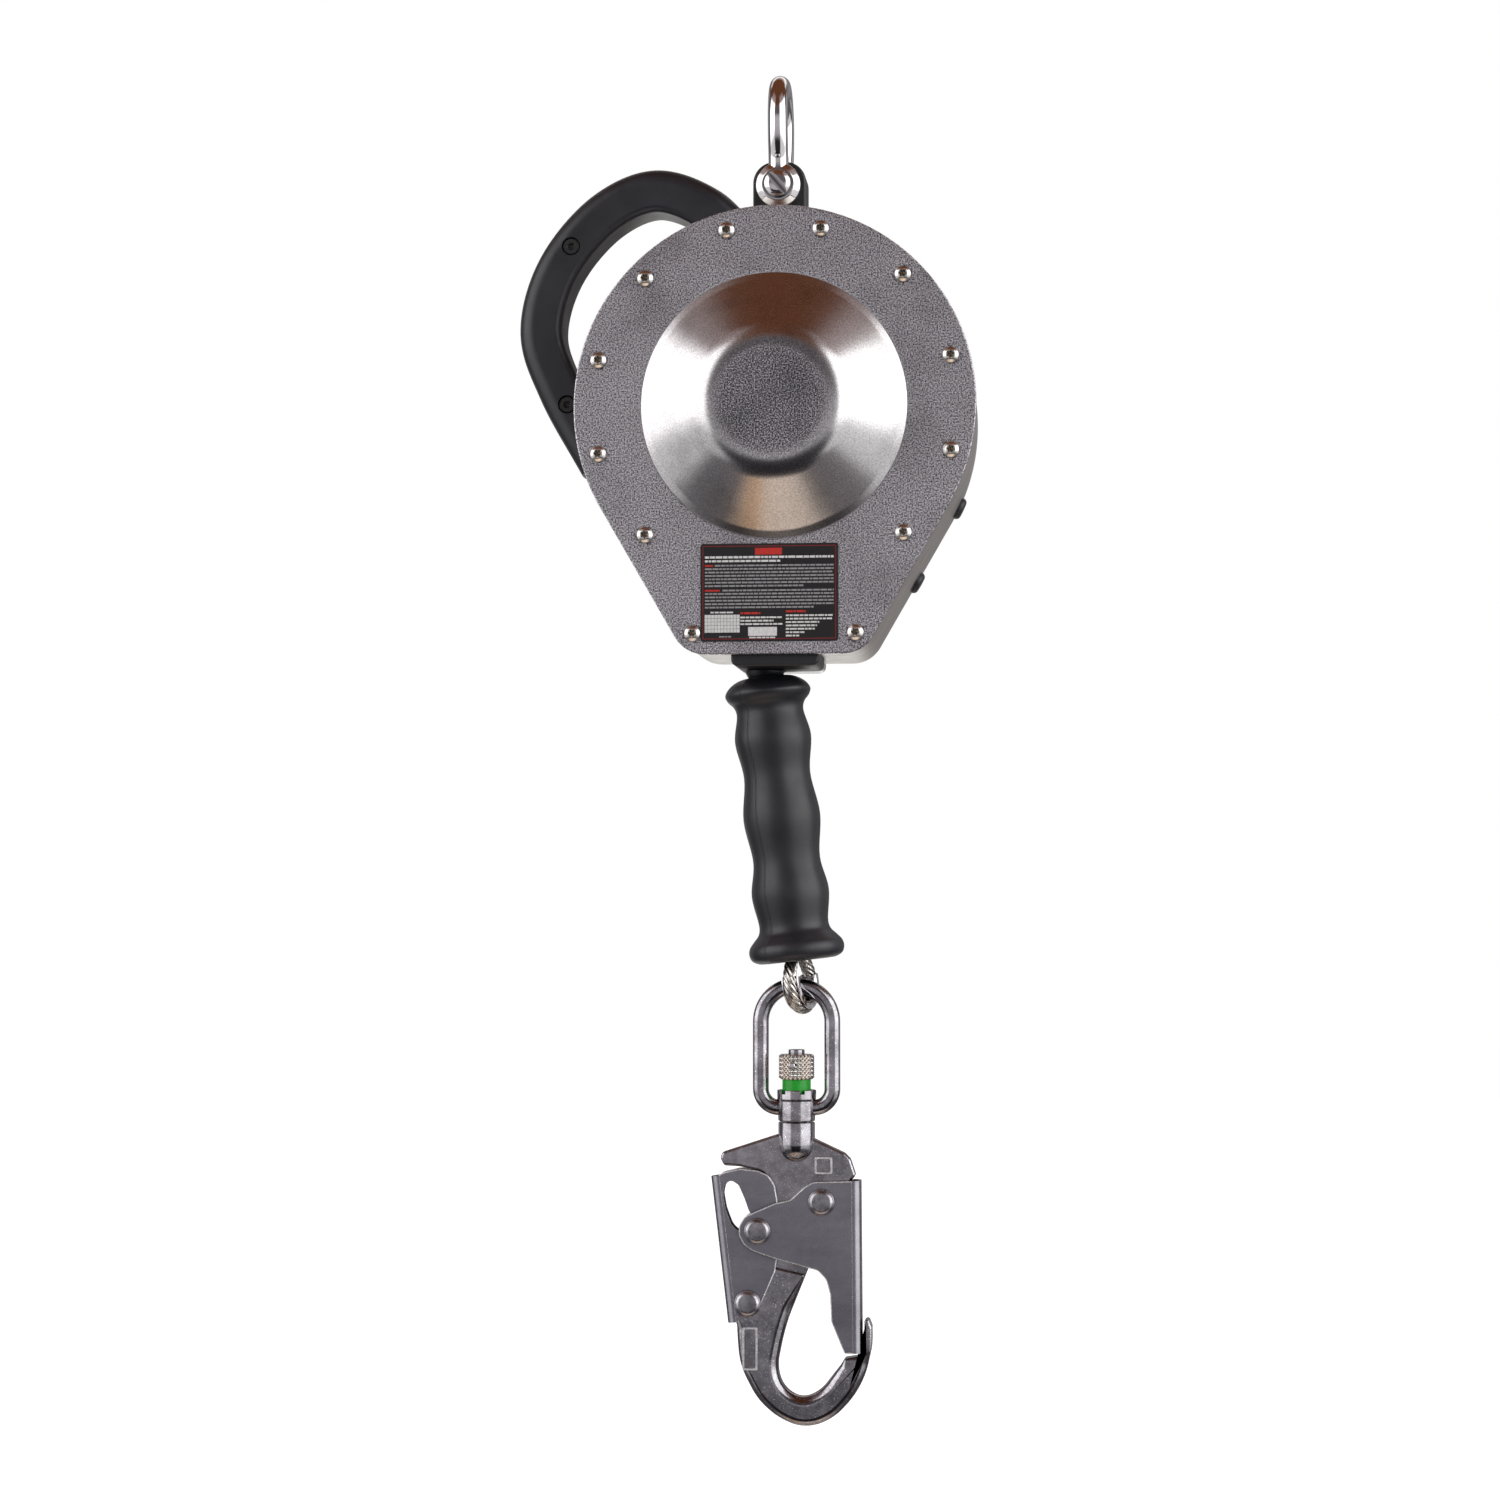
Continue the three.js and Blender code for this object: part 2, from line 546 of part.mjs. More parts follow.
function ropeEye() {
  const { normal, at, wide } = eyeFrame();
  const split = ROPE_R + 0.25;
  const ferruleLow = -24;
  const bend = arc(0, 0, EYE_BEND_R, 160, 380, 14).map(([u, s]) => at(u, -s));
  const leg = (side) => [at(side * split, ferruleLow + 2), at(side * (split + 2.4), ferruleLow + 10)];
  const line = [at(-split, -76), ...leg(-1), ...bend, ...leg(1).reverse(), at(split, ferruleLow - 22)];
  part('cable_eye', swept(line, round(ROPE_R, 10), normal), ZINC);

  const oblong = (r) => [...arc(split, 0, r, -90, 90, 6), ...arc(-split, 0, r, 90, 270, 6)];
  const basis = new THREE.Matrix4().makeBasis(wide, DOWN, normal);
  const sleeve = slab(oblong(ROPE_R + 2.4), [oblong(ROPE_R + 0.15)], 0, 22);
  sleeve.applyMatrix4(basis.setPosition(at(0, ferruleLow - 22)));
  part('rope_ferrule', sleeve, ALUMINIUM);

  const floor = EYE_BEND_R - ROPE_R - 0.25;
  const wall = ROPE_R + 0.2;
  const sheet = 0.8;
  const lip = floor + 3.2;
  const channel = [
    [floor - sheet, -wall - sheet], [lip, -wall - sheet], [lip, -wall], [floor, -wall],
    [floor, wall], [lip, wall], [lip, wall + sheet], [floor - sheet, wall + sheet],
  ];
  const rings = arc(0, 0, 1, 165, 375, 16).map(([u, s]) => (
    channel.map(([r, v]) => at(u * r, -s * r).addScaledVector(normal, v))));
  part('thimble', loft(rings, channel), POLISHED);
}

// ---- Hand grip ----------------------------------------------------------------------
// Radius against distance below the nozzle mouth, measured down the leaning axis.
const GRIP_PROFILE = [
  [9, 4.6], [12.4, 5.8], [18.2, 7.2], [19.75, 10], [18.8, 13], [15.6, 17], [15.4, 21],
  [17.6, 33.3], [15.3, 50.4], [17.7, 69.8], [15.4, 89.8], [17.8, 104.6], [16.1, 121],
  [19, 124.5], [21.9, 130], [20.6, 135], [14, 136.2],
];
const GRIP_BORE = [[12.8, 135], [10.2, 122], [8.6, 68], [3.2, 62], [3.2, 4.6]];

function grip() {
  const profile = [...GRIP_PROFILE, ...GRIP_BORE];
  part('grip', turned(profile, 22, MOUTH.toArray(), DOWN.toArray()), RUBBER);
}

// ---- Swivel link --------------------------------------------------------------------
function swivelLink() {
  const crownZ = LINK_CROWN_Z - LINK_BEND_R;
  const bend = 12;
  const left = SWIVEL_X - LINK_BEND_R;
  const right = SWIVEL_X + LINK_BEND_R;
  const line = [
    ...arc(left + bend, LINK_LOW_Z + bend, bend, 270, 180, 5),
    ...arc(SWIVEL_X, crownZ, LINK_BEND_R, 180, 0, 14),
    ...arc(right - bend, LINK_LOW_Z + bend, bend, 0, -90, 5),
  ].map(([x, z]) => new THREE.Vector3(x, 0, z));
  line.unshift(new THREE.Vector3(SWIVEL_X - 5.5, 0, LINK_LOW_Z));
  line.push(new THREE.Vector3(SWIVEL_X + 5.5, 0, LINK_LOW_Z));
  const bar = swept(line, round(LINK_BAR_R, 10), new THREE.Vector3(0, 1, 0));
  const barrel = [
    [0, BOSS_LOW], [8.5, BOSS_LOW], [8.5, -463.7], [8.9, -463.2], [8.9, BOSS_TOP], [0, BOSS_TOP],
  ];
  const boss = turned(barrel, 24, [SWIVEL_X, 0, 0], [0, 0, 1]);
  const bore = rodZ(4.5 + RUNNING, BOSS_LOW - 1, BOSS_TOP + 1, SWIVEL_X, 24);
  const recess = rodZ(7.1, BOSS_TOP - 2.2, BOSS_TOP + 1, SWIVEL_X, 24);
  part('swivel_link', cut(joined(bar, boss), bore, recess), FORGED);
}

function swivelStud() {
  const nutLow = -454.2;
  const nutTop = -442.9;
  const place = [SWIVEL_X, 0, 0];
  const up = [0, 0, 1];
  const step = nutLow - 0.1;
  const end = -440.7;
  const stud = [[0, HOOK_TOP - 8], [4.5, HOOK_TOP - 8], [4.5, step], [3.7, step], [3.7, end], [0, end]];
  part('swivel_stud', turned(stud, 24, place, up), FORGED);

  const pinWay = new THREE.Vector3(-0.16, -0.987, 0);
  const nut = [
    [3.7 + PLAY, nutLow], [7.6, nutLow], [8.25, nutLow + 0.7], [8.25, nutTop - 0.7],
    [7.6, nutTop], [3.7 + PLAY, nutTop],
  ];
  const crossing = (profile) => turned(profile, 12, [SWIVEL_X, 0, -447.9], pinWay.toArray());
  const pinHole = crossing([[0, 4.4], [1.6 + PLAY, 4.4], [1.6 + PLAY, 12], [0, 12]]);
  part('knurled_nut', cut(turned(nut, 20, place, up), pinHole), POLISHED);
  part('nut_pin', crossing([[0, 4.6], [1.6, 4.6], [1.6, 9], [1, 9.5], [0, 9.5]]), POLISHED);
  const [inner, low, high] = [4.5 + PLAY, BOSS_TOP - 2, nutLow - GAP];
  const band = [[inner, low], [6.5, low], [6.5, high], [inner, high]];
  part('load_indicator_band', turned(band, 24, place, up), GREEN);
}

// ---- Snap hook ----------------------------------------------------------------------
// Outlines are in the hook's own frame: X from the swivel axis, Z down from the hook seat.
const inHook = (points) => points.map(([x, z]) => [x + SWIVEL_X, z + HOOK_TOP]);

const WEB = [
  [8.1, -7.5], [-8.7, -5.7], [-34, -14], [-34.7, -16.7], [-33.1, -20], [-25.8, -20.4],
  [-13.6, -23.2], [-11.4, -39.3], [-12, -57.7], [-24.4, -72.9], [-28.4, -80.7], [-27.6, -92.6],
  [-5.1, -92.6], [5.5, -66.4], [12.4, -53.1], [20, -41.6], [21.5, -31], [27.2, -24],
  [24.8, -16.7], [22.1, -14],
];
const LOWER = [
  [-27.3, -92.9], [-25.9, -110.6], [-17.9, -125.8], [-9, -133.6], [0.5, -137.7], [9, -137.4],
  [17.6, -133.2], [26, -124.5], [31.6, -114.3], [34.8, -100], [34.4, -91.7], [32.9, -88.5],
  [31.1, -88.5], [30.9, -105.2], [22.1, -106.7], [20.2, -109.7], [10.9, -121.6], [2.3, -125.1],
  [-6, -119.8], [-8.7, -110.6], [-5.1, -92.9],
];
const WEB_HALF = 3.4;
const LOWER_HALF = 5.8;

function hookBody() {
  const web = slab(inHook(WEB), [], -WEB_HALF, WEB_HALF);
  const bow = slab(inHook(LOWER), [], -LOWER_HALF, LOWER_HALF);
  const bridge = slab(inHook([[-24, -90], [-7, -90], [-7, -96], [-24, -96]]), [], -WEB_HALF, WEB_HALF);
  const stem = [[0, -22], [4.5, -21], [8.4, -16], [8.4, 0], [0, 0]];
  const shank = turned(stem, 24, [SWIVEL_X, 0, HOOK_TOP], [0, 0, 1]);
  const bore = rodZ(4.5 + PLAY, HOOK_TOP - 8.2, HOOK_TOP + 1, SWIVEL_X, 24);
  const [gx, gz] = inHook([GATE_PIVOT])[0];
  const [lx, lz] = inHook([LEVER_PIVOT])[0];
  const bores = [rod(RIVET_R + PLAY, -9, 9, gx, gz, 12), rod(RIVET_R + PLAY, -9, 9, lx, lz, 12)];
  part('hook_body', cut(joined(web, bow, bridge, shank), bore, ...bores), FORGED);
}

// A sheet folded into a U: two cheeks and a spine that joins them along one edge.
function foldedSheet(cheek, spine, inner, outer, cuts) {
  const front = slab(inHook(cheek), [], -outer, -inner);
  const back = slab(inHook(cheek), [], inner, outer);
  const fold = slab(inHook(spine), [], -outer, outer);
  return cut(joined(front, back, fold), ...cuts);
}

const GATE = [
  [-9.7, -36.8], [-2.3, -35], [4.1, -29.2], [8.1, -26.9], [25.3, -26.4], [29.6, -26.4],
  [30.1, -104.2], [22.1, -104.2], [21.6, -103], [16.1, -89.9], [15.6, -77.7], [13.8, -71],
  [9.9, -66.9], [6, -66], [-9.7, -61.8], [-19.3, -58.6], [-23.4, -56], [-26, -51.6],
  [-25.9, -47], [-23.4, -42.8],
];
const GATE_SPINE = [[28.6, -27.5], [29.6, -26.9], [30.1, -104.2], [28.8, -104.2]];
const LEVER = [
  [-39.1, -25], [-34, -23.2], [-25.8, -21.2], [-17.5, -22.1], [-12.6, -24.1], [-9.7, -28.7],
  [-8.3, -36.5], [-8.7, -62.7], [-12.6, -88], [-15.4, -91.7], [-31.3, -91.3],
];
const LEVER_SPINE = [[-39.1, -25], [-37.8, -24.5], [-30, -91.3], [-31.3, -91.3]];
// The lever's slot: the open arc, and the way the gate's pin takes through it.
const LEVER_SLOT = [
  [-32.7, -28.5], [-29.6, -26.4], [-26.2, -28.6], [-23.4, -34.8], [-21.4, -40.6],
  [-15.7, -47.2], [-15, -50.6], [-17.6, -52.4], [-22.2, -51.4], [-29, -48.4], [-32.4, -39.3],
  [-33.6, -32.6],
];
const LEVER_IN = 3.7;
const LEVER_OUT = 4.8;
const GATE_IN = 5.1;
const GATE_OUT = 6.3;

// A rivet with a domed head over each side of the hook.
function rivet(name, [x, z], half) {
  const head = 2.6;
  const side = (s) => [
    [RIVET_R, s * half], [RIVET_HEAD_R, s * half], [RIVET_HEAD_R * 0.86, s * (half + 1.5)],
    [RIVET_HEAD_R * 0.5, s * (half + head - 0.3)], [0, s * (half + head)],
  ];
  const profile = [...side(-1).reverse(), ...side(1)];
  part(name, turned(profile, 12, [x + SWIVEL_X, 0, z + HOOK_TOP]), POLISHED);
}

function gateAndLever() {
  const drill = ([x, z], r) => rod(r, -12, 12, x + SWIVEL_X, z + HOOK_TOP, 16);
  const gateCuts = [drill(GATE_PIVOT, RIVET_R + RUNNING), drill(GATE_PIN, RIVET_R + PLAY)];
  part('gate', foldedSheet(GATE, GATE_SPINE, GATE_IN, GATE_OUT, gateCuts), SHEET);
  const slot = slab(inHook(LEVER_SLOT), [], -12, 12);
  const leverCuts = [slot, drill(LEVER_PIVOT, RIVET_R + RUNNING)];
  part('lock_lever', foldedSheet(LEVER, LEVER_SPINE, LEVER_IN, LEVER_OUT, leverCuts), SHEET);
  rivet('gate_rivet', GATE_PIVOT, GATE_OUT + 0.1);
  rivet('gate_pin', GATE_PIN, GATE_OUT + 0.1);
  rivet('lever_rivet', LEVER_PIVOT, LEVER_OUT + 0.1);
}

// ---- Assembly -----------------------------------------------------------------------
shackle();
cover('front_cover', -1, screwHoles(SCREW_R + 0.3));
cover('rear_cover', 1, []);
gasket('front_gasket', -1, screwHoles(SCREW_R + 0.3));
gasket('rear_gasket', 1, []);
shell();
coverScrews();
ratingPlate();
nozzle();
carryHandle();
anchorLug();
loadPlates();
springMotor();
drum();
brake();
cableRun();
ropeEye();
grip();
swivelLink();
swivelStud();
hookBody();
gateAndLever();

export default scene;
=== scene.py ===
"""The looks of the self retracting lifeline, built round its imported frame.

The frame is in metres, +Z up, with the front cover facing -Y. Shapes below are written in
millimetres in the same frame, and are scaled once, where a mesh is made.
"""
import math
import random

import bmesh
import bpy
from mathutils import Matrix, Vector

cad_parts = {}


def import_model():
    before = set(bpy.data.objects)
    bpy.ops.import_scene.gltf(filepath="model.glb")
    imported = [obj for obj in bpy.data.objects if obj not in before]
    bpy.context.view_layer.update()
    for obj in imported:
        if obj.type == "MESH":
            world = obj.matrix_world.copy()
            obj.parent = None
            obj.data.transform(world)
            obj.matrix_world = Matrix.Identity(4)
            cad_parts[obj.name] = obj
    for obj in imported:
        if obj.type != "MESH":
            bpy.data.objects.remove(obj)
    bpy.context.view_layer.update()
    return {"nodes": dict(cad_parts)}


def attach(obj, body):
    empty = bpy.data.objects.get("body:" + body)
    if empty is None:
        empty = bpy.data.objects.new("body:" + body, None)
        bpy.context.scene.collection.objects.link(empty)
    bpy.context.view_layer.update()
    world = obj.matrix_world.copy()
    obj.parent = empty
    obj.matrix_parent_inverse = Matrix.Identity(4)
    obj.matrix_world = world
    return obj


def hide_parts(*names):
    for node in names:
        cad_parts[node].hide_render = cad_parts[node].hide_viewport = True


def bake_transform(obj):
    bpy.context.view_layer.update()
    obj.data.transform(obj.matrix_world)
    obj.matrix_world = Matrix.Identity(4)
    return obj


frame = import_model()
NODES = frame["nodes"]

# ---- Driving dimensions, in millimetres ----------------------------------------------
MM = 0.001
FORWARD = Vector((0, -1, 0))
BACKWARD = Vector((0, 1, 0))
UP = Vector((0, 0, 1))

HUB_Z = -150.0
COVER_R = 91.0
COVER_FLAT = 112.5
COVER_CORNER = 16.0
COVER_T = 2.0
HALF_DEPTH = 40.0
SHELL_INSET = 1.2
SHELL_HALF = 36.4
SHELL_WALL = 3.0
RIM_WIDTH = 14.0
GASKET_Y = (36.45, 37.95)
DOME_BASE_R = 60.5
DOME_TOP_R = 27.0
DOME_H = 18.0
SCREW_CIRCLE_R = 82.4
SCREW_ANGLES = (-45, -15, 15, 45, 75, 105, 135, 165, 195, 225)
LOW_SCREWS = ((-36.7, -103.0), (36.7, -103.0))
SEAT_DEPTH = 0.16
RECESS_R = 1.6
RECESS_LOBE = 0.26
PLUG_Y = 28.0

# Profiles of the housing's pieces: covers' rims as (inset, depth), the rest as (radius, height)
# or, where there are three numbers, with the radius of each corner.
FRONT_RIM = ((6, 0), (0.7, 0), (0.2, 0.2), (0, 0.7), (0, COVER_T - 0.3), (0.3, COVER_T))
REAR_RIM = (
    (12, 0), (6.2, 0), (4.2, 0.35), (2.6, 1.3), (1.6, 2.6), (1.3, 3.5), (1.6, 3.55), (3.2, 3.5),
    (4.4, COVER_T),
)
SEAT = ((0, -SEAT_DEPTH), (4.0, -SEAT_DEPTH), (6.4, 0.04), (0, 0.04))
SCREW_HEAD = ((0, 2.3, 0), (2.2, 2.3, 1.1), (3.7, 1.1, 1.3), (3.7, 0, 0), (0, 0, 0))
PLUG = ((0, 2.4, 0), (4.2, 2.4, 1.2), (5.2, 1.2, 0.6), (5.2, 0, 0), (0, 0, 0))
HANDLE_SOCKET = ((0, -2), (4.4, -2), (4.1, 3), (0, 3))
HANDLE_BOLT = ((0, 2.4), (1.3, 2.2), (1.5, 0.7), (1.9, 0.3), (3.3, 0.3), (3.8, 0.7), (3.9, 2.9), (0, 2.9))

LABEL_X = (-33.0, 29.0)
LABEL_Z = (-256.7, -212.7)
LABEL_Y = -40.55

PIN_Z = -44.8
BOW_R = 4.6
CROWN_R = 18.0
EYE_R = 10.3
EYE_Y = (9.4, 18.6)

ROPE_R = 2.5
LAY = 26.0  # one turn of a strand along the rope
STRANDS = 8
LEAN = math.radians(6.4)
MOUTH = Vector((-7.6, 0.0, -265.0))
DOWN = Vector((math.sin(LEAN), 0.0, -math.cos(LEAN)))
PAYOUT = 376.0
EYE_YAW = math.radians(18)
EYE_BEND_R = 12.1
EYE_Z = -410.1

SWIVEL_X = 6.9
HOOK_TOP = -473.6

HANDLE_LINE = (
    (-20, -66.5), (-34, -52.8), (-57.6, -44.5), (-80.8, -53.7), (-103.5, -80.4),
    (-111, -110), (-102.4, -136.3), (-83, -171.5),
)
HANDLE_SCREWS = ((-96.6, -70.4), (-98.2, -144.0))

# Radius against distance below the nozzle mouth, down the leaning axis.
GRIP_PROFILE = (
    (9, 5.0), (12.4, 5.6), (15.8, 7.2), (18.5, 9.6), (19.75, 12.2), (18.8, 14.8), (16.4, 17.6),
    (15.4, 21), (17.6, 33.3), (15.3, 50.4), (17.7, 69.8), (15.4, 89.8), (17.8, 104.6), (15.9, 119.5),
    (16.7, 122.8), (19.1, 125.6), (21.3, 128.4), (21.9, 131.2), (20.9, 134.1), (18, 135.8), (14, 136.2),
)
GRIP_BORE = ((12.8, 135), (10.2, 122), (8.6, 68), (3.2, 62), (3.2, 5.2))

# The hook's own frame: X from the swivel axis, Z down from the hook seat, and the radius
# of each corner.
WEB = (
    (8.1, -7.5, 2), (-8.7, -5.7, 2), (-34, -14, 2), (-34.7, -16.7, 1.6), (-33.1, -20, 1.8),
    (-25.8, -20.4, 8), (-13.6, -23.2, 6), (-11.4, -39.3, 6), (-12, -57.7, 6), (-24.4, -72.9, 6),
    (-28.4, -80.7, 6), (-27.6, -92.6, 2), (-5.1, -92.6, 2), (5.5, -66.4, 10), (12.4, -53.1, 10),
    (20, -41.6, 6), (21.5, -31, 4), (27.2, -24, 1.5), (24.8, -16.7, 2), (22.1, -14, 3),
)
LOWER = (
    (-27.3, -88.0, 1), (-27.1, -97, 99), (-25.9, -110.6, 99), (-17.9, -125.8, 99), (-9, -133.6, 99),
    (0.5, -137.7, 99), (9, -137.4, 99), (17.6, -133.2, 99), (26, -124.5, 99), (31.6, -114.3, 99),
    (34.8, -100, 99), (34.6, -92.4, 3), (33.0, -88.6, 1.2), (31.1, -89.2, 0.8), (30.9, -105.2, 1),
    (22.1, -106.7, 1.2), (20.2, -109.7, 4), (10.9, -121.6, 99), (2.3, -125.1, 99), (-6, -119.8, 99),
    (-8.7, -110.6, 99), (-5.1, -92.9, 99), (4.2, -69.0, 1), (-9.5, -66.0, 1), (-19, -82, 8),
)
WEB_HALF = 3.4
BOW_HALF = 5.0  # the gate's cheeks pass 5.1 either side of the middle
WINDOW = (4.0, -106.0, 23.0)  # the hook's opening: its middle, and how far its edge reaches
WINDOW_EDGE = 4.6
BACK_EDGE = 3.6
FOLD_R = 3.6
GATE = (
    (-9.7, -36.8, 10), (-2.3, -35, 6), (4.1, -29.2, 6), (8.1, -26.9, 4), (25.3, -26.4, 0),
    (29.6, -26.4, 0), (30.1, -104.2, 0), (22.1, -104.2, 0.8), (21.6, -103, 0.8), (16.1, -89.9, 6),
    (15.6, -77.7, 10), (13.8, -71, 6), (9.9, -66.9, 4), (6, -66, 3), (-9.7, -61.8, 12),
    (-19.3, -58.6, 8), (-23.4, -56, 5), (-26, -51.6, 5), (-25.9, -47, 5), (-23.4, -42.8, 6),
)
LEVER = (
    (-39.1, -25, 0), (-34, -23.2, 6), (-25.8, -21.2, 8), (-17.5, -22.1, 6), (-12.6, -24.1, 5),
    (-9.7, -28.7, 5), (-8.3, -36.5, 10), (-8.7, -62.7, 20), (-12.6, -88, 4), (-15.4, -91.7, 3),
    (-31.3, -91.3, 0),
)
LEVER_SLOT = (
    (-32.7, -28.5, 3), (-29.6, -26.4, 2.4), (-26.2, -28.6, 3), (-23.4, -34.8, 8), (-21.4, -40.6, 6),
    (-15.7, -47.2, 3), (-15, -50.6, 3), (-17.6, -52.4, 3), (-22.2, -51.4, 6), (-29, -48.4, 10),
    (-32.4, -39.3, 12), (-33.6, -32.6, 6),
)
GATE_PIVOT = (11.7, -36.1)
GATE_PIN = (-17.5, -49.4)
LEVER_PIVOT = (-22.1, -82.3)


# ---- Flat shapes -----------------------------------------------------------------------
def arc(cx, cz, r, start, end, steps):
    """Points along an arc, from one angle in degrees to another."""
    turns = (math.radians(start + (end - start) * i / steps) for i in range(steps + 1))
    return [(cx + r * math.cos(a), cz + r * math.sin(a)) for a in turns]


def circle(cx, cz, r, steps):
    return arc(cx, cz, r, 0, 360, steps)[:-1]


def corner_arc(before, point, after, radius, steps):
    """The arc that rounds one corner, kept inside half of the shorter side. A corner that
    is nearly straight or folded back stays a point."""
    sharpest, flattest, share = 0.05, math.pi / 2 - 0.03, 0.49
    p = Vector(point[:2])
    u = Vector(before[:2]) - p
    v = Vector(after[:2]) - p
    if radius <= 0 or u.length < 1e-6 or v.length < 1e-6:
        return [tuple(p)]
    half = u.angle(v) / 2
    if half < sharpest or half > flattest:
        return [tuple(p)]
    reach = min(radius / math.tan(half), share * u.length, share * v.length)
    r = reach * math.tan(half)
    u.normalize()
    v.normalize()
    centre = p + (u + v).normalized() * (r / math.sin(half))
    first = p + u * reach - centre
    last = p + v * reach - centre
    sweep = first.angle_signed(last)
    points = []
    for i in range(steps + 1):
        turned = first.copy()
        turned.rotate(Matrix.Rotation(-sweep * i / steps, 2))
        points.append(tuple(centre + turned))
    return points


def rounded(outline, steps=6):
    """A closed outline of (x, z, corner radius), with its corners rounded."""
    points = []
    for i, point in enumerate(outline):
        after = outline[(i + 1) % len(outline)]
        points += corner_arc(outline[i - 1], point, after, point[2], steps)
    return points


def rounded_line(line, steps=5):
    """An open line of (r, h, corner radius), with its inner corners rounded."""
    points = [line[0][:2]]
    for before, point, after in zip(line, line[1:], line[2:]):
        points += corner_arc(before, point, after, point[2], steps)
    return points + [line[-1][:2]]


def smooth_line(points, per_span):
    """A centripetal Catmull-Rom curve through points of two or three numbers."""
    line = [Vector(p).to_3d() for p in points]
    line = [2 * line[0] - line[1], *line, 2 * line[-1] - line[-2]]
    curve = []
    for p0, p1, p2, p3 in zip(line, line[1:], line[2:], line[3:]):
        gaps = [max((b - a).length, 1e-6) ** 0.5 for a, b in ((p0, p1), (p1, p2), (p2, p3))]
        first = (p1 - p0) / gaps[0] - (p2 - p0) / (gaps[0] + gaps[1]) + (p2 - p1) / gaps[1]
        last = (p2 - p1) / gaps[1] - (p3 - p1) / (gaps[1] + gaps[2]) + (p3 - p2) / gaps[2]
        first *= gaps[1]
        last *= gaps[1]
        for i in range(per_span):
            t = i / per_span
            a = 2 * t ** 3 - 3 * t ** 2 + 1
            b = t ** 3 - 2 * t ** 2 + t
            curve.append(a * p1 + b * first + (1 - a) * p2 + (t ** 3 - t ** 2) * last)
    curve.append(line[-2])
    return curve


def in_hook(points):
    """Points of the hook's own frame, moved to the whole object's."""
    return [(p[0] + SWIVEL_X, p[1] + HOOK_TOP, *p[2:]) for p in points]


# ---- Meshes ----------------------------------------------------------------------------
def linked(name, data):
    """A new object in the scene."""
    obj = bpy.data.objects.new(name, data)
    bpy.context.scene.collection.objects.link(obj)
    return obj


def new_object(name, points, faces):
    """A mesh object from points in millimetres, with its faces turned outwards."""
    mesh = bpy.data.meshes.new(name)
    mesh.from_pydata([Vector(p) * MM for p in points], [], faces)
    tidy_mesh(mesh)
    return linked(name, mesh)


def tidy_mesh(mesh):
    """Merges doubled points and turns every face outwards."""
    work = bmesh.new()
    work.from_mesh(mesh)
    bmesh.ops.remove_doubles(work, verts=work.verts, dist=2e-6)
    bmesh.ops.recalc_face_normals(work, faces=work.faces)
    work.to_mesh(mesh)
    work.free()


def ring_faces(count, rings, closed):
    """Quads between rings of `count` points each."""
    faces = []
    for i in range(rings if closed else rings - 1):
        for j in range(count):
            k = (j + 1) % count
            low = (i + 1) % rings * count
            faces.append((i * count + j, i * count + k, low + k, low + j))
    return faces


def lofted(name, rings, closed=False):
    """Rings joined into one skin: a closed one meets itself, an open one gets two caps."""
    count = len(rings[0])
    faces = ring_faces(count, len(rings), closed)
    if not closed:
        last = (len(rings) - 1) * count
        faces += [tuple(range(count)), tuple(range(last, last + count))]
    return new_object(name, [p for ring in rings for p in ring], faces)


def axes_of(axis):
    """Two directions across an axis."""
    way = Vector(axis).normalized()
    across = way.orthogonal().normalized() if abs(way.y) < 0.9 else Vector((1, 0, 0))
    return way, across, way.cross(across)


def turned(name, profile, origin, axis, sides=64):
    """A profile of (radius, height) turned about an axis. It is closed on itself when it
    does not start on the axis."""
    way, across, over = axes_of(axis)
    turns = [2 * math.pi * j / sides for j in range(sides)]
    rings = []
    for r, h in profile:
        middle = Vector(origin) + way * h
        rings.append([middle + (across * math.cos(a) + over * math.sin(a)) * r for a in turns])
    return lofted(name, rings, closed=profile[0][0] > 1e-6)


def rod(name, r, start, end, origin, axis, sides):
    """A plain round rod, from one distance along an axis to another."""
    return turned(name, [(0, start), (r, start), (r, end), (0, end)], origin, axis, sides)


def unique(outline):
    """An outline without points that lie on the one before."""
    return [p for i, p in enumerate(outline) if math.dist(p, outline[i - 1]) > 0.02]


def inward(loop, around):
    """For each point of a loop, its direction into the material and the reach of a mitre."""
    turning = 1 if around > 0 else -1
    ways = []
    for i, (x, z) in enumerate(loop):
        before, after = loop[i - 1], loop[(i + 1) % len(loop)]
        first = Vector((before[1] - z, x - before[0])).normalized()
        last = Vector((z - after[1], after[0] - x)).normalized()
        middle = first + last
        if middle.length < 1e-6:
            middle = first.copy()
        middle.normalize()
        ways.append(middle * (turning / max(middle.dot(first), 0.5)))
    return ways


def area(loop):
    """The area in a loop, negative when it runs clockwise."""
    return sum(a[0] * b[1] - b[0] * a[1] for a, b in zip(loop, loop[1:] + loop[:1])) / 2


def width_inside(loop, ways):
    """How wide the material is behind each point of a loop."""
    widths = []
    for (x, z), way in zip(loop, ways):
        nearest = 1e3
        for (ax, az), (bx, bz) in zip(loop, loop[1:] + loop[:1]):
            ex, ez = bx - ax, bz - az
            cross = way.x * ez - way.y * ex
            if abs(cross) < 1e-9:
                continue
            t = ((ax - x) * ez - (az - z) * ex) / cross
            u = ((ax - x) * way.y - (az - z) * way.x) / cross
            if t > 0.05 and -1e-6 <= u <= 1 + 1e-6:
                nearest = min(nearest, t)
        widths.append(nearest * way.length)
    return widths


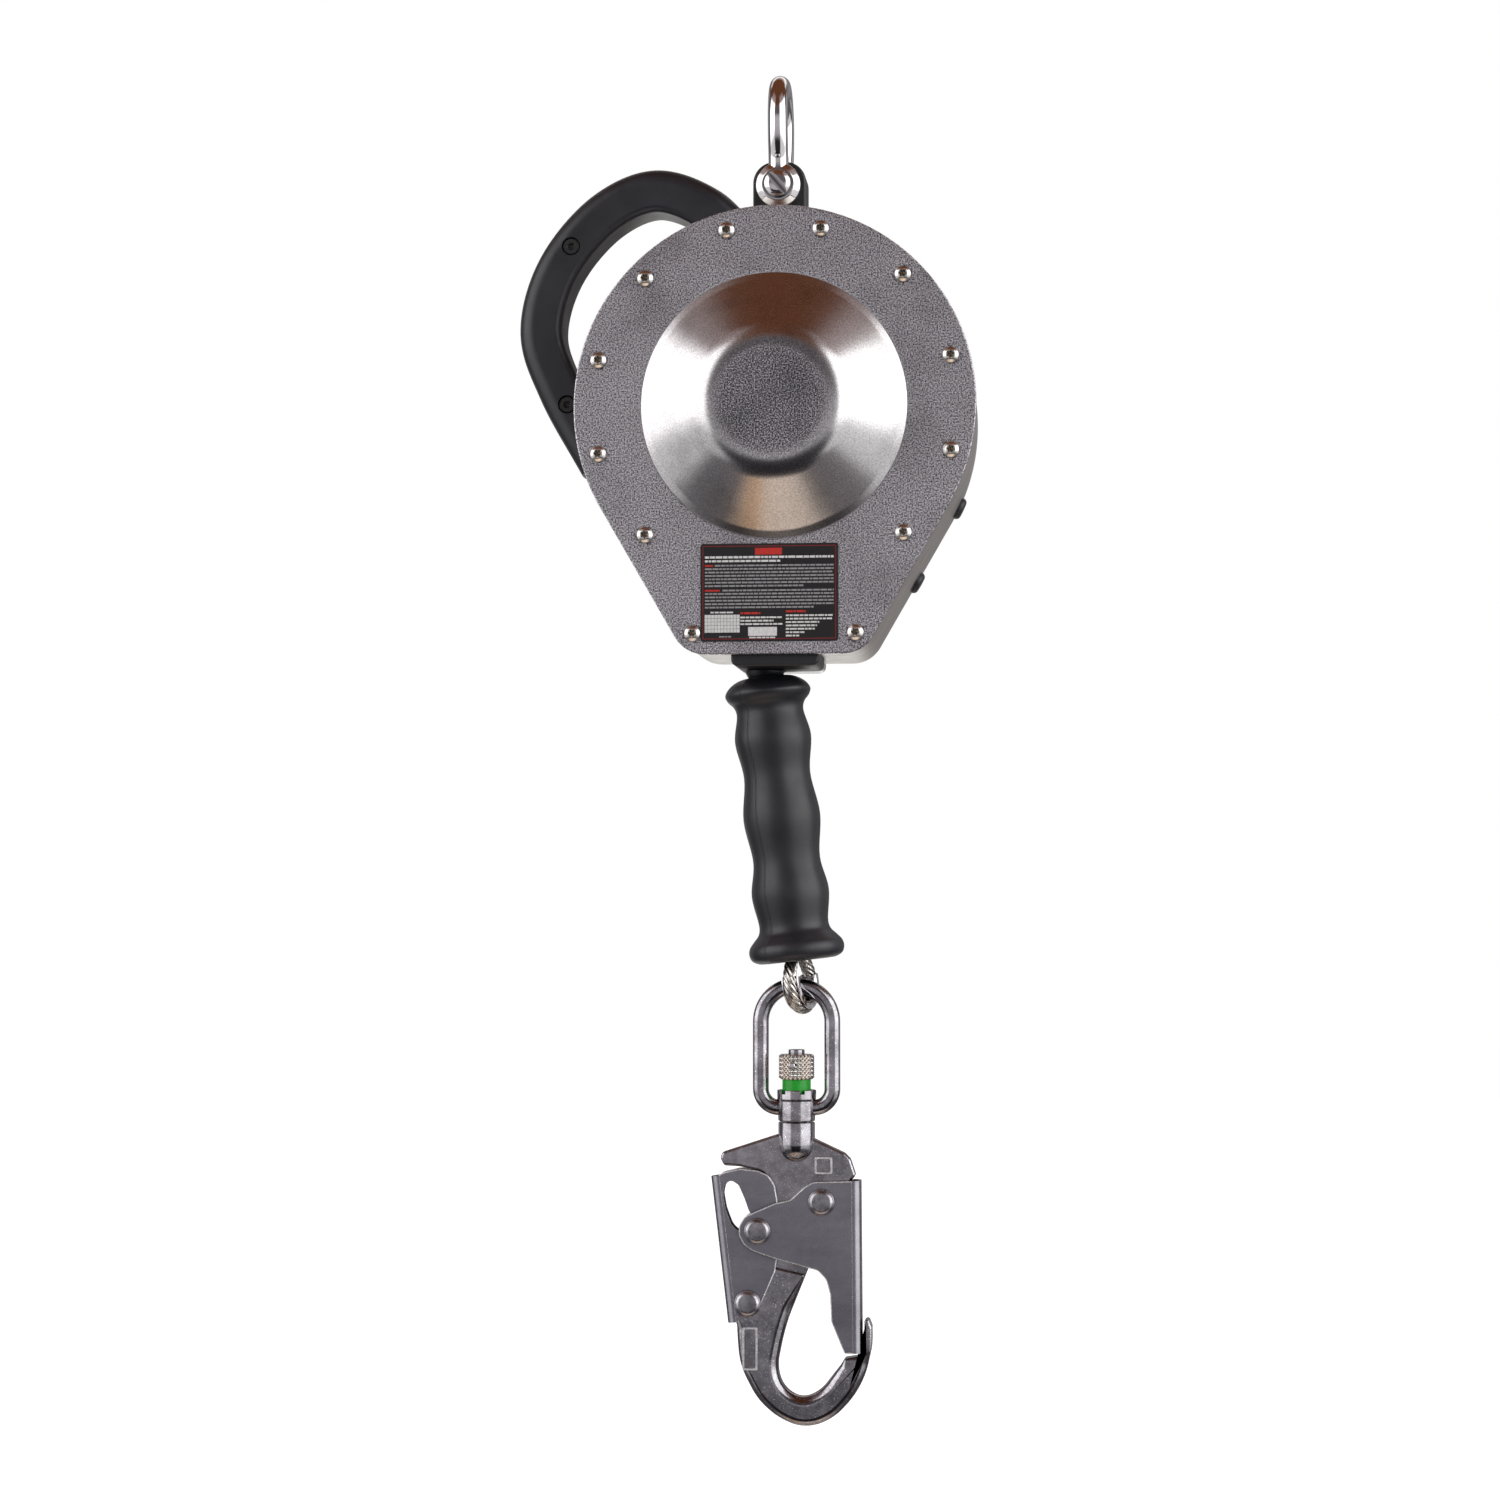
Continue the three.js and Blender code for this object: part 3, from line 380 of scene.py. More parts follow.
def edge_sizes(loop, ways, edge, around):
    """The edge radius at each point: as asked, but less where the material is narrow or its
    own corner is tight, and never changing quickly along the loop."""
    turning = 1 if around > 0 else -1
    of_width, of_corner, slope = 0.4, 0.45, 0.6
    sizes = []
    for i, ((x, z), wide) in enumerate(zip(loop, width_inside(loop, ways))):
        into = Vector((x - loop[i - 1][0], z - loop[i - 1][1]))
        away = Vector((loop[(i + 1) % len(loop)][0] - x, loop[(i + 1) % len(loop)][1] - z))
        bend = math.atan2(into.cross(away), into.dot(away)) * turning
        size = min(edge(x, z) if callable(edge) else edge, of_width * wide)
        if bend > 0.01:
            size = min(size, of_corner * (into.length + away.length) / bend)
        sizes.append(size)
    return [min(s + slope * math.dist(p, q) for q, s in zip(loop, sizes)) for p in loop]


def plate_rings(loop, around, y_front, y_back, edge, steps):
    """The points of a plate along one loop, ring by ring from its front face to its back."""
    ways = inward(loop, around)
    sizes = edge_sizes(loop, ways, edge, around) if edge else [0.0] * len(loop)
    quarter = [math.pi / 2 * k / steps for k in range(steps + 1)] if edge else [math.pi / 2]
    behind = 1 if y_back > y_front else -1
    levels = [(a, y_front, behind) for a in quarter] + [(a, y_back, -behind) for a in reversed(quarter)]
    rings = []
    for a, y, side in levels:
        ring = []
        for (x, z), way, size in zip(loop, ways, sizes):
            inset = size * (1 - math.sin(a))
            depth = size * (1 - math.cos(a)) * side
            ring.append(Vector((x + way.x * inset, y + depth, z + way.y * inset)) * MM)
        rings.append(ring)
    return rings


def plate(name, outline, y_front, y_back, holes=(), edge=0.0, steps=3):
    """An outline in X and Z made into a plate between two Y values, with rounded edges of
    one radius, or of the radius that `edge` gives for a place."""
    work = bmesh.new()
    caps = ([], [])
    for number, loop in enumerate((outline, *holes)):
        loop = unique(loop)
        around = area(loop) * (1 if number == 0 else -1)
        rings = []
        for points in plate_rings(loop, around, y_front, y_back, edge, steps):
            rings.append([work.verts.new(p) for p in points])
        for ring, below in zip(rings, rings[1:]):
            for i in range(len(ring)):
                work.faces.new((ring[i - 1], ring[i], below[i], below[i - 1]))
        for cap, ring in zip(caps, (rings[0], rings[-1])):
            if holes:
                cap += [work.edges.get((ring[i - 1], ring[i])) for i in range(len(ring))]
            else:
                work.faces.new(ring)
    if holes:
        for cap in caps:
            bmesh.ops.triangle_fill(work, use_beauty=True, edges=cap)
    mesh = bpy.data.meshes.new(name)
    work.to_mesh(mesh)
    work.free()
    tidy_mesh(mesh)
    return linked(name, mesh)


def swept(name, line, section, side, closed=False):
    """A section of (across, along `side`) pairs carried down a line; `side` is square to it."""
    rings = []
    count = len(line)
    for i, point in enumerate(line):
        before = line[i - 1] if closed else line[max(i - 1, 0)]
        after = line[(i + 1) % count] if closed else line[min(i + 1, count - 1)]
        across = (after - before).normalized().cross(side).normalized()
        rings.append([point + across * u + Vector(side) * v for u, v in section])
    return lofted(name, rings, closed)


def applied(obj):
    """Turns an object's modifiers into mesh."""
    bpy.context.view_layer.update()
    graph = bpy.context.evaluated_depsgraph_get()
    done = bpy.data.meshes.new_from_object(obj.evaluated_get(graph))
    old = obj.data
    obj.modifiers.clear()
    obj.data = done
    bpy.data.meshes.remove(old)
    return obj


def combine(obj, others, operation):
    """Joins other solids to one, or cuts them out of it, and removes them."""
    for other in others:
        step = obj.modifiers.new("step", "BOOLEAN")
        step.object = other
        step.operation = operation
        step.solver = "EXACT"
    applied(obj)
    for other in others:
        bpy.data.objects.remove(other)
    return obj


def cut(obj, *others):
    return combine(obj, others, "DIFFERENCE")


def joined(obj, *others):
    return combine(obj, others, "UNION")


def shaded(obj, limit=30):
    """Smooth shading, with creases where faces meet more sharply than the limit."""
    obj.data.shade_smooth()
    obj.data.set_sharp_from_angle(angle=math.radians(limit))
    step = obj.modifiers.new("normals", "WEIGHTED_NORMAL")
    step.keep_sharp = True
    return applied(obj)


def trimmed(obj, look, chosen):
    """Gives a second look to the faces that a test of centre (in millimetres) and normal picks."""
    obj.data.materials.append(LOOKS[look])
    for face in obj.data.polygons:
        face.material_index = 1 if chosen(face.center / MM, face.normal) else 0
    return obj


def place(obj, body, slot, *nodes, look=None):
    """Puts a piece on its body, gives it its look, and hides the CAD nodes it stands for."""
    obj.data.materials.clear()
    obj.data.materials.append(LOOKS[look or slot])
    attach(obj, body)
    if nodes:
        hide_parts(*nodes)
    return obj


# ---- Materials -------------------------------------------------------------------------
def fill(tree, node, inputs):
    """Fills a node's inputs, by name or number, with values or with other nodes' outputs."""
    for key, value in inputs.items():
        if isinstance(value, bpy.types.NodeSocket):
            tree.links.new(value, node.inputs[key])
        else:
            node.inputs[key].default_value = value


def add_node(tree, kind, inputs, **settings):
    node = tree.nodes.new("ShaderNode" + kind)
    for name, value in settings.items():
        setattr(node, name, value)
    fill(tree, node, inputs)
    return node


def add_ramp(tree, source, stops):
    """A colour ramp over a value; stops are (position, colour or grey)."""
    node = add_node(tree, "ValToRGB", {"Fac": source})
    elements = node.color_ramp.elements
    while len(elements) < len(stops):
        elements.new(0.5)
    for element, (position, colour) in zip(elements, stops):
        element.position = position
        grey = isinstance(colour, (int, float))
        element.color = (colour, colour, colour, 1) if grey else (*colour, 1)
    return node.outputs["Color"]


def add_mix(tree, kind, factor, first, second):
    """Two colours mixed; the mix node's colours are its inputs 6 and 7 and its output 2."""
    inputs = {0: factor, 6: first, 7: second}
    return add_node(tree, "Mix", inputs, data_type="RGBA", blend_type=kind).outputs[2]


def remap(tree, source, start, end, first=0.0, last=1.0, kind="LINEAR"):
    """A value carried from one range to another."""
    inputs = {"Value": source, "From Min": start, "From Max": end, "To Min": first, "To Max": last}
    return add_node(tree, "MapRange", inputs, interpolation_type=kind).outputs["Result"]


class Look:
    """A Principled material whose colour, roughness and relief come from noise."""

    def __init__(self, name, colour, metallic, roughness):
        self.name = name
        self.material = bpy.data.materials.new("look_" + name)
        self.material.use_nodes = True
        self.tree = self.material.node_tree
        self.shader = self.tree.nodes["Principled BSDF"]
        self.place = add_node(self.tree, "TexCoord", {}).outputs["Object"]
        self.set(Base_Color=(*colour, 1), Metallic=metallic, Roughness=roughness)

    def set(self, **inputs):
        """Values or node outputs for the shader's inputs."""
        fill(self.tree, self.shader, {name.replace("_", " "): value for name, value in inputs.items()})
        return self

    def noise(self, scale, detail=2.0, rough=0.5, stretch=(1, 1, 1)):
        """Noise whose features are about 1/scale metres, stretched along each axis."""
        at = add_node(self.tree, "Mapping", {"Vector": self.place, "Scale": stretch}).outputs["Vector"]
        inputs = {"Vector": at, "Scale": scale, "Detail": detail, "Roughness": rough}
        return add_node(self.tree, "TexNoise", inputs).outputs["Fac"]

    def ramp(self, source, *stops):
        return add_ramp(self.tree, source, stops)

    def blend(self, kind, factor, first, second):
        return add_mix(self.tree, kind, factor, first, second)

    def band(self, radius, soft):
        """1 within a radius of the drum axis and 0 outside it, in millimetres."""
        inputs = {"Vector": self.place, "Scale": (1, 0, 1), "Location": (0, 0, -HUB_Z * MM)}
        flat = add_node(self.tree, "Mapping", inputs).outputs["Vector"]
        length = add_node(self.tree, "VectorMath", {0: flat}, operation="LENGTH").outputs["Value"]
        near, far = (radius - soft / 2) * MM, (radius + soft / 2) * MM
        return remap(self.tree, length, near, far, 1.0, 0.0, "SMOOTHSTEP")

    def colour(self, source):
        return self.set(Base_Color=source)

    def shade(self, reach, darkest=0.1):
        """Paints shade into the colour in narrow gaps and corners, over a reach in millimetres."""
        near = add_node(self.tree, "AmbientOcclusion", {"Distance": reach * MM}, samples=8)
        depth = self.ramp(near.outputs["AO"], (0.25, darkest), (0.9, 1.0))
        source = self.shader.inputs["Base Color"].links[0].from_socket
        return self.colour(self.blend("MULTIPLY", 1.0, source, depth))

    def rough(self, source, low, high):
        """Roughness that runs from low to high over the middle of a 0 to 1 source."""
        return self.set(Roughness=remap(self.tree, source, 0.3, 0.7, low, high))

    def relief(self, source, height, strength=1.0):
        """Surface relief of a height in millimetres."""
        inputs = {"Distance": height * MM, "Strength": strength, "Height": source}
        return self.set(Normal=add_node(self.tree, "Bump", inputs).outputs["Normal"])


def blasted_look():
    """Blasted sheet: fine bright and dark grain, which spinning has smoothed on the dome's flank. Its flat
    middle is painted darker, a painted dark reflection."""
    look = Look("blasted_steel", (0.3, 0.29, 0.31), 1.0, 0.34)
    grain = look.noise(1500, 2, 0.65)
    cloud = look.noise(24, 4, 0.6)
    flat = ((0.4, (0.12, 0.113, 0.122)), (0.5, (0.6, 0.57, 0.61)), (0.58, (1.0, 0.97, 1.0)))
    spun = ((0.36, (0.50, 0.485, 0.49)), (0.64, (0.72, 0.70, 0.705)))
    # middle: much darker grain for the dome's flat middle, a painted dark reflection.
    middle = ((0.4, (0.06, 0.056, 0.063)), (0.5, (0.27, 0.255, 0.275)), (0.6, (0.95, 0.91, 0.95)))
    flat, spun, middle = (look.ramp(grain, *stops) for stops in (flat, spun, middle))
    colour = look.blend("MIX", look.band(DOME_BASE_R, 1.2), flat, spun)
    # Mixes the painted dark reflection in over the dome's flat middle.
    colour = look.blend("MIX", look.band(DOME_TOP_R - 2.0, 9.0), colour, middle)
    wash = look.ramp(cloud, (0.3, 0.62), (0.5, 0.9), (0.7, 1.0))
    look.colour(look.blend("MULTIPLY", 1.0, colour, wash))
    look.rough(look.band(DOME_BASE_R, 3.0), 0.36, 0.2)
    look.shade(2.0, 0.25)
    return look.relief(grain, 0.02, 0.3)


def side_wall_look():
    look = Look("side_wall", (0.62, 0.6, 0.57), 1.0, 0.36)
    brushed = look.noise(900, 3, 0.6, stretch=(0.06, 1, 0.06))
    look.colour(look.ramp(brushed, (0.3, (0.46, 0.44, 0.42)), (0.7, (0.76, 0.73, 0.7))))
    look.rough(look.noise(120, 3), 0.3, 0.45)
    return look.relief(brushed, 0.02, 0.35)


def polished_look():
    look = Look("polished_steel", (0.72, 0.7, 0.7), 1.0, 0.1)
    look.colour(look.ramp(look.noise(90, 4), (0.3, (0.62, 0.6, 0.6)), (0.7, (0.8, 0.78, 0.78))))
    look.rough(look.noise(300, 4, 0.7), 0.06, 0.14)
    look.shade(2.5, 0.05)
    return look.relief(look.noise(260, 3), 0.03, 0.25)


def forged_look():
    look = Look("forged_steel", (0.42, 0.4, 0.43), 1.0, 0.2)
    body = look.ramp(look.noise(120, 5, 0.65), (0.32, (0.2, 0.19, 0.205)), (0.68, (0.46, 0.44, 0.47)))
    pits = look.ramp(look.noise(1500, 2, 0.5), (0.64, 0.0), (0.7, 1.0))
    look.colour(look.blend("ADD", 0.5, body, pits))
    look.rough(look.noise(420, 4, 0.7), 0.1, 0.2)
    look.shade(2.2, 0.12)
    return look.relief(look.noise(520, 4, 0.7), 0.05, 0.3)


def rivet_look():
    look = Look("rivet_steel", (0.2, 0.19, 0.21), 1.0, 0.3)
    tone = look.noise(260, 4, 0.6)
    look.colour(look.ramp(tone, (0.35, (0.24, 0.23, 0.25)), (0.65, (0.48, 0.46, 0.49))))
    look.rough(look.noise(700, 3), 0.22, 0.34)
    look.shade(0.7, 0.1)
    return look.relief(look.noise(900, 3), 0.05, 0.3)


def sheet_look():
    look = Look("sheet_steel", (0.3, 0.29, 0.32), 1.0, 0.3)
    streaks = look.noise(60, 5, 0.6, stretch=(0.35, 1, 1.4))
    look.colour(look.ramp(streaks, (0.3, (0.27, 0.26, 0.295)), (0.7, (0.39, 0.375, 0.415))))
    look.rough(look.noise(300, 3), 0.22, 0.32)
    look.shade(2.6, 0.05)
    return look.relief(look.noise(1400, 2), 0.02, 0.3)


# Painted highlight: a bright, half metallic look for the sheets' rounded edges and the stamps' borders.
def edge_highlight_look():
    look = Look("painted_edge_highlight", (0.8, 0.79, 0.8), 0.5, 0.25)
    look.colour(look.ramp(look.noise(500, 3), (0.3, (0.6, 0.59, 0.6)), (0.7, (0.95, 0.93, 0.94))))
    look.rough(look.noise(700, 2), 0.2, 0.34)
    return look.relief(look.noise(900, 2), 0.03, 0.3)


def zinc_look():
    look = Look("zinc_steel", (0.74, 0.71, 0.67), 1.0, 0.2)
    look.colour(look.ramp(look.noise(500, 3), (0.3, (0.66, 0.63, 0.59)), (0.7, (0.9, 0.87, 0.82))))
    look.rough(look.noise(600, 2), 0.14, 0.26)
    look.shade(1.2, 0.03)
    return look.relief(look.noise(900, 2), 0.02, 0.3)


def rope_look():
    look = Look("wire_rope", (0.52, 0.49, 0.45), 1.0, 0.28)
    wires = look.noise(1600, 2, 0.5, stretch=(1, 1, 0.25))
    look.colour(look.ramp(wires, (0.35, (0.3, 0.28, 0.26)), (0.65, (0.85, 0.82, 0.77))))
    look.shade(1.1, 0.02)
    return look.relief(wires, 0.12, 0.6)


def rubber_look():
    look = Look("black_rubber", (0.02, 0.021, 0.025), 0.0, 0.42)
    look.set(Specular_IOR_Level=0.62)
    bloom = look.noise(60, 4, 0.6)
    look.colour(look.ramp(bloom, (0.3, (0.009, 0.0095, 0.0135)), (0.7, (0.018, 0.019, 0.026))))
    look.rough(look.noise(45, 5, 0.65), 0.34, 0.5)
    return look.relief(look.noise(2200, 2), 0.02, 0.25)


def plastic_look():
    look = Look("black_plastic", (0.016, 0.016, 0.017), 0.0, 0.38)
    look.rough(look.noise(150, 3), 0.32, 0.45)
    return look.relief(look.noise(1500, 2), 0.03, 0.2)


def ink_look(name, colour, roughness):
    look = Look(name, colour, 0.0, roughness)
    faded = tuple(value * 0.82 for value in colour)
    look.colour(look.ramp(look.noise(900, 2), (0.3, faded), (0.7, colour)))
    return look.rough(look.noise(80, 2), roughness - 0.05, roughness + 0.05)


def aluminium_look():
    look = Look("aluminium", (0.6, 0.61, 0.63), 1.0, 0.35)
    look.rough(look.noise(300, 3), 0.28, 0.42)
    return look.relief(look.noise(900, 3, stretch=(1, 0.1, 1)), 0.03, 0.3)


def lining_look():
    look = Look("friction_lining", (0.09, 0.065, 0.045), 0.0, 0.9)
    look.colour(look.ramp(look.noise(700, 4), (0.35, (0.05, 0.035, 0.025)), (0.7, (0.17, 0.13, 0.09))))
    return look.relief(look.noise(800, 3), 0.1, 0.6)


def spring_look():
    look = Look("spring_steel", (0.16, 0.18, 0.24), 1.0, 0.3)
    look.colour(look.ramp(look.noise(60, 3), (0.3, (0.1, 0.12, 0.19)), (0.7, (0.2, 0.21, 0.25))))
    return look.rough(look.noise(500, 2), 0.25, 0.4)


# Painted shade: the dark colour, with a few paler specks, given to the screws' recesses.
def socket_shade_look():
    look = Look("screw_socket", (0.05, 0.035, 0.025), 1.0, 0.35)
    return look.colour(look.ramp(look.noise(1500, 2), (0.4, (0.03, 0.02, 0.014)), (0.62, (0.42, 0.34, 0.24))))


def make_looks():
    looks = [
        blasted_look(), side_wall_look(), polished_look(), forged_look(), sheet_look(), zinc_look(),
        rope_look(), rubber_look(), plastic_look(), aluminium_look(), lining_look(), spring_look(),
        socket_shade_look(), rivet_look(), edge_highlight_look(),
        ink_look("rating_plate", (0.012, 0.011, 0.012), 0.3),
        ink_look("indicator_green", (0.01, 0.42, 0.02), 0.4),
        ink_look("print_ink", (0.36, 0.36, 0.37), 0.5),
        ink_look("white_ink", (0.8, 0.8, 0.8), 0.45),
        ink_look("red_ink", (0.62, 0.03, 0.02), 0.4),
        ink_look("border_ink", (0.2, 0.015, 0.015), 0.4),
        ink_look("pale_ink", (0.33, 0.33, 0.35), 0.45),
    ]
    return {look.name: look.material for look in looks}


LOOKS = make_looks()


def paint_frame():
    """Gives the CAD nodes that stay the same looks as the pieces."""
    for node in NODES.values():
        for holder in node.material_slots:
            holder.material = LOOKS[holder.material.name.split(".")[0]]


# ---- Housing ---------------------------------------------------------------------------
def between(a, b, steps):
    """Points on the straight line between two others, without those two."""
    shares = [i / steps for i in range(1, steps)]
    return [(a[0] + (b[0] - a[0]) * t, a[1] + (b[1] - a[1]) * t) for t in shares]


def cover_outline(inset, top_steps=150, corner_steps=8, side_steps=10):
    """The covers' outline, moved inwards: a circle, two tangents and a flat bottom."""
    r = COVER_R - inset
    corner = max(COVER_CORNER - inset, 3.0)
    cz = corner - COVER_FLAT + inset
    cx = (r - corner + 0.5 * cz) / math.cos(math.radians(30))
    arcs = (
        arc(cx, cz, corner, -90, -30, corner_steps),
        arc(0, 0, r, -30, 210, top_steps),
        arc(-cx, cz, corner, 210, 270, corner_steps),
    )
    loop = []
    for part, after in zip(arcs, arcs[1:] + arcs[:1]):
        loop += part + between(part[-1], after[0], side_steps)
    return [(x, z + HUB_Z) for x, z in loop]


def outline_ring(inset, y):
    return [Vector((x, y, z)) for x, z in cover_outline(inset)]


def hub_ring(r, y):
    """A ring about the drum axis whose points lie on the same rays as the outline's."""
    ring = []
    for x, z in cover_outline(0):
        ray = Vector((x, 0, z - HUB_Z)).normalized() * r
        ring.append(ray + Vector((0, y, HUB_Z)))
    return ring


def screw_places():
    around = [arc(0, 0, SCREW_CIRCLE_R, angle, angle, 1)[0] for angle in SCREW_ANGLES]
    return [(x, z + HUB_Z) for x, z in (*around, *LOW_SCREWS)]


def cover(name, facing, rim, node):
    """One pressed cover: flat sheet with its rim, a spun dome, and screw seats. The rear
    cover's rim is drawn down over its gasket."""
    top = HALF_DEPTH + DOME_H
    tip = 0.5
    dome = rounded_line([
        (tip, top, 0), (DOME_TOP_R + 3.5, top, 23), (DOME_BASE_R - 3.4, HALF_DEPTH + 1.4, 12),
        (DOME_BASE_R - 0.4, HALF_DEPTH - 0.1, 0.5), (DOME_BASE_R + 0.7, HALF_DEPTH, 0.5),
        (DOME_BASE_R + 4, HALF_DEPTH, 0),
    ], 10)
    behind = ((DOME_BASE_R - 3, HALF_DEPTH), (DOME_TOP_R - 2, top), (tip, top))
    rings = [hub_ring(r, facing * y) for r, y in dome]
    rings += [outline_ring(inset, facing * (HALF_DEPTH - y)) for inset, y in rim]
    rings += [hub_ring(r, facing * (y - COVER_T)) for r, y in behind]
    obj = lofted(name, rings)
    places = [(x, facing * HALF_DEPTH, z) for x, z in screw_places()]
    cut(obj, *[turned("seat", SEAT, at, (0, facing, 0), 24) for at in places])
    place(shaded(obj, 24), "housing", "blasted_steel", node)


def gasket(name, facing, edge, node):
    """The rubber ring under a cover, its outer edge a little rounded."""
    y0, y1 = (facing * y for y in GASKET_Y)
    outside = [(edge + 0.4, y0), (edge, y0 * 0.7 + y1 * 0.3), (edge, y0 * 0.3 + y1 * 0.7), (edge + 0.4, y1)]
    rings = [outline_ring(*at) for at in ((RIM_WIDTH, y0), *outside, (RIM_WIDTH, y1))]
    place(shaded(lofted(name, rings, closed=True)), "housing", "black_rubber", node)


def shell():
    """The side wall with its two screw rims, open for the lug and the nozzle."""
    half = SHELL_HALF
    inner = SHELL_INSET + SHELL_WALL
    deep = half - 4.0
    front = [(RIM_WIDTH, -half), (2.2, -half), (1.5, 0.3 - half), (SHELL_INSET, 1 - half)]
    back = [(inset, -y) for inset, y in reversed(front)]
    inside = [(RIM_WIDTH, deep), (inner, deep), (inner, -deep), (RIM_WIDTH, -deep)]
    obj = lofted("wall", [outline_ring(*at) for at in front + back + inside], closed=True)
    lug_slot = plate("lug_slot", [(-12.6, -72), (12.6, -72), (12.6, -50), (-12.6, -50)], -9.3, 9.3)
    mouth = rod("mouth_hole", 10.3, -6, 8, (MOUTH.x, 0, -261), UP, 40)
    place(shaded(cut(obj, lug_slot, mouth)), "housing", "side_wall", "housing_shell")


def pan_screw(name):
    """A pan head with a six-lobed recess whose dark colour is painted shade, its seat at the origin, facing
    -Y.
    """
    obj = turned(name, rounded_line(SCREW_HEAD, 6), (0, 0, 0), FORWARD, 40)
    lobes = []
    for x, z in circle(0, 0, 1, 48):
        r = RECESS_R + RECESS_LOBE * math.cos(6 * math.atan2(z, x))
        lobes.append((r * x, r * z))
    shaded(cut(obj, plate("recess", lobes, -3.2, -0.7)), 32)
    obj.data.materials.append(LOOKS["zinc_steel"])

    def in_recess(at, _):
        return math.hypot(at.x, at.z) < RECESS_R + 0.3 and -2.2 < at.y < -0.6

    # The recess's faces get the painted-shade look.
    return trimmed(obj, "screw_socket", in_recess)


def cover_screws():
    """Twelve screws in each cover. The rear ones are the front ones turned round."""
    dice = random.Random(7)
    model = pan_screw("screw_model")
    for facing, side, half_turn in ((-1, "front", 0), (1, "rear", math.pi)):
        for i, (x, z) in enumerate(screw_places(), 1):
            obj = linked(f"screw_{side}_{i:02d}", model.data)
            seat = Vector((x, facing * (HALF_DEPTH - SEAT_DEPTH), z)) * MM
            turn = Matrix.Rotation(half_turn, 4, "Z") @ Matrix.Rotation(dice.uniform(0, 1.05), 4, "Y")
            obj.matrix_world = Matrix.Translation(seat) @ turn
            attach(obj, "housing")
            if side == "front":
                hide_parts(f"cover_screw_{i:02d}")
    bpy.data.objects.remove(model)


def guard():
    """The black plate under the housing round the rope's exit, with a steel shoe behind, and
    a rubber ball that turns in it with the rope."""
    low, high, side = -267.5, -261.4, 19.7
    outline = rounded([(-side, low, 3.4), (side, low, 3.4), (side, high, 0), (-side, high, 0)], 6)
    for name, y0, y1, slot in (("guard", -36, 1, "black_rubber"), ("guard_shoe", 1.2, 14, "polished_steel")):
        obj = plate(name, outline, y0, y1, edge=1.1)
        hole = rod("hole", 9.8, -8, 8, (MOUTH.x, 0, -264), UP, 40)
        place(shaded(cut(obj, hole)), "housing", slot, "nozzle_guard")
    ball = arc(0, 0, 9.4, -40, 30, 14)
    ring = turned("exit_ball", [(4.6, ball[0][1]), *ball, (2.7, ball[-1][1])], MOUTH, DOWN, 56)
    place(shaded(ring, 50), "lead", "black_rubber")


def plug(name, angle, along, node):
    """A rubber plug in the right slanted wall."""
    a = math.radians(angle)
    normal = Vector((math.cos(a), 0, math.sin(a)))
    downhill = Vector((math.sin(a), 0, -math.cos(a)))
    origin = normal * (COVER_R - SHELL_INSET) + downhill * along + Vector((0, PLUG_Y, HUB_Z))
    obj = turned(name, rounded_line(PLUG, 5), origin, normal, 32)
    place(shaded(obj), "housing", "black_rubber", node)


def handle():
    """The carry handle: a rubber bar with a flat front, worked to the wall's curve."""
    line = [Vector((p.x, 0, p.y)) for p in smooth_line(HANDLE_LINE, 14)]
    wide, deep = 10.2, 12.0
    corners = [(wide, -deep, 3.4), (wide, deep, 3.4), (-wide, deep, 7.5), (-wide, -deep, 7.5)]
    obj = swept("handle", line, rounded(corners, 6), BACKWARD)
    wall = rod("wall_cut", 90, -20, 20, (0, 0, HUB_Z), BACKWARD, 180)
    places = [(x, -deep, z) for x, z in HANDLE_SCREWS]
    sockets = [turned("socket", HANDLE_SOCKET, at, BACKWARD, 32) for at in places]
    place(shaded(cut(obj, wall, *sockets), 34), "housing", "black_rubber", "carry_handle")
    for i, at in enumerate(places, 1):
        screw = turned(f"handle_bolt_{i}", HANDLE_BOLT, at, BACKWARD, 32)
        place(shaded(screw), "housing", "black_plastic", f"handle_screw_{i}")


# ---- Rating plate ----------------------------------------------------------------------
class Ink:
    """Thin blocks of ink on the rating plate, all in one mesh. Places are in millimetres
    from the plate's top left corner."""

    def __init__(self):
        self.points = []
        self.faces = []
        self.looks = []

    def block(self, x, z, wide, tall, look, lift=0.02):
        """One block from its top left corner, standing off the plate by its lift."""
        left = LABEL_X[0] + x
        top = LABEL_Z[1] - z
        start = len(self.points)
        for y in (LABEL_Y, LABEL_Y - lift):
            for dx, dz in ((0, 0), (wide, 0), (wide, -tall), (0, -tall)):
                self.points.append((left + dx, y, top + dz))
        sides = [(i, (i + 1) % 4, 4 + (i + 1) % 4, 4 + i) for i in range(4)]
        for face in [(0, 1, 2, 3), (7, 6, 5, 4), *sides]:
            self.faces.append(tuple(start + i for i in face))
            self.looks.append(look)

    def bars(self, dice, x, z, wide, tall, look):
        """One line of plain bars of uneven length, with gaps between them."""
        shortest, longest, gap, left_over = 0.9, 3.2, 0.35, 0.4
        at = x
        while at < x + wide - left_over:
            length = min(dice.uniform(shortest, longest), x + wide - at)
            self.block(at, z, length, tall, look)
            at += length + gap

    def rows(self, dice, x, z, widths, tall, look, pitch, indent=0.0):
        """Lines of bars under each other, the first one indented."""
        for row, wide in enumerate(widths):
            start = 0.0 if row else indent
            self.bars(dice, x + start, z + pitch * row, wide - start, tall, look)

    def obj(self, name):
        mesh = bpy.data.meshes.new(name)
        mesh.from_pydata([Vector(p) * MM for p in self.points], [], self.faces)
        names = sorted(set(self.looks))
        for look in names:
            mesh.materials.append(LOOKS[look])
        for face, look in zip(mesh.polygons, self.looks):
            face.material_index = names.index(look)
        return linked(name, mesh)


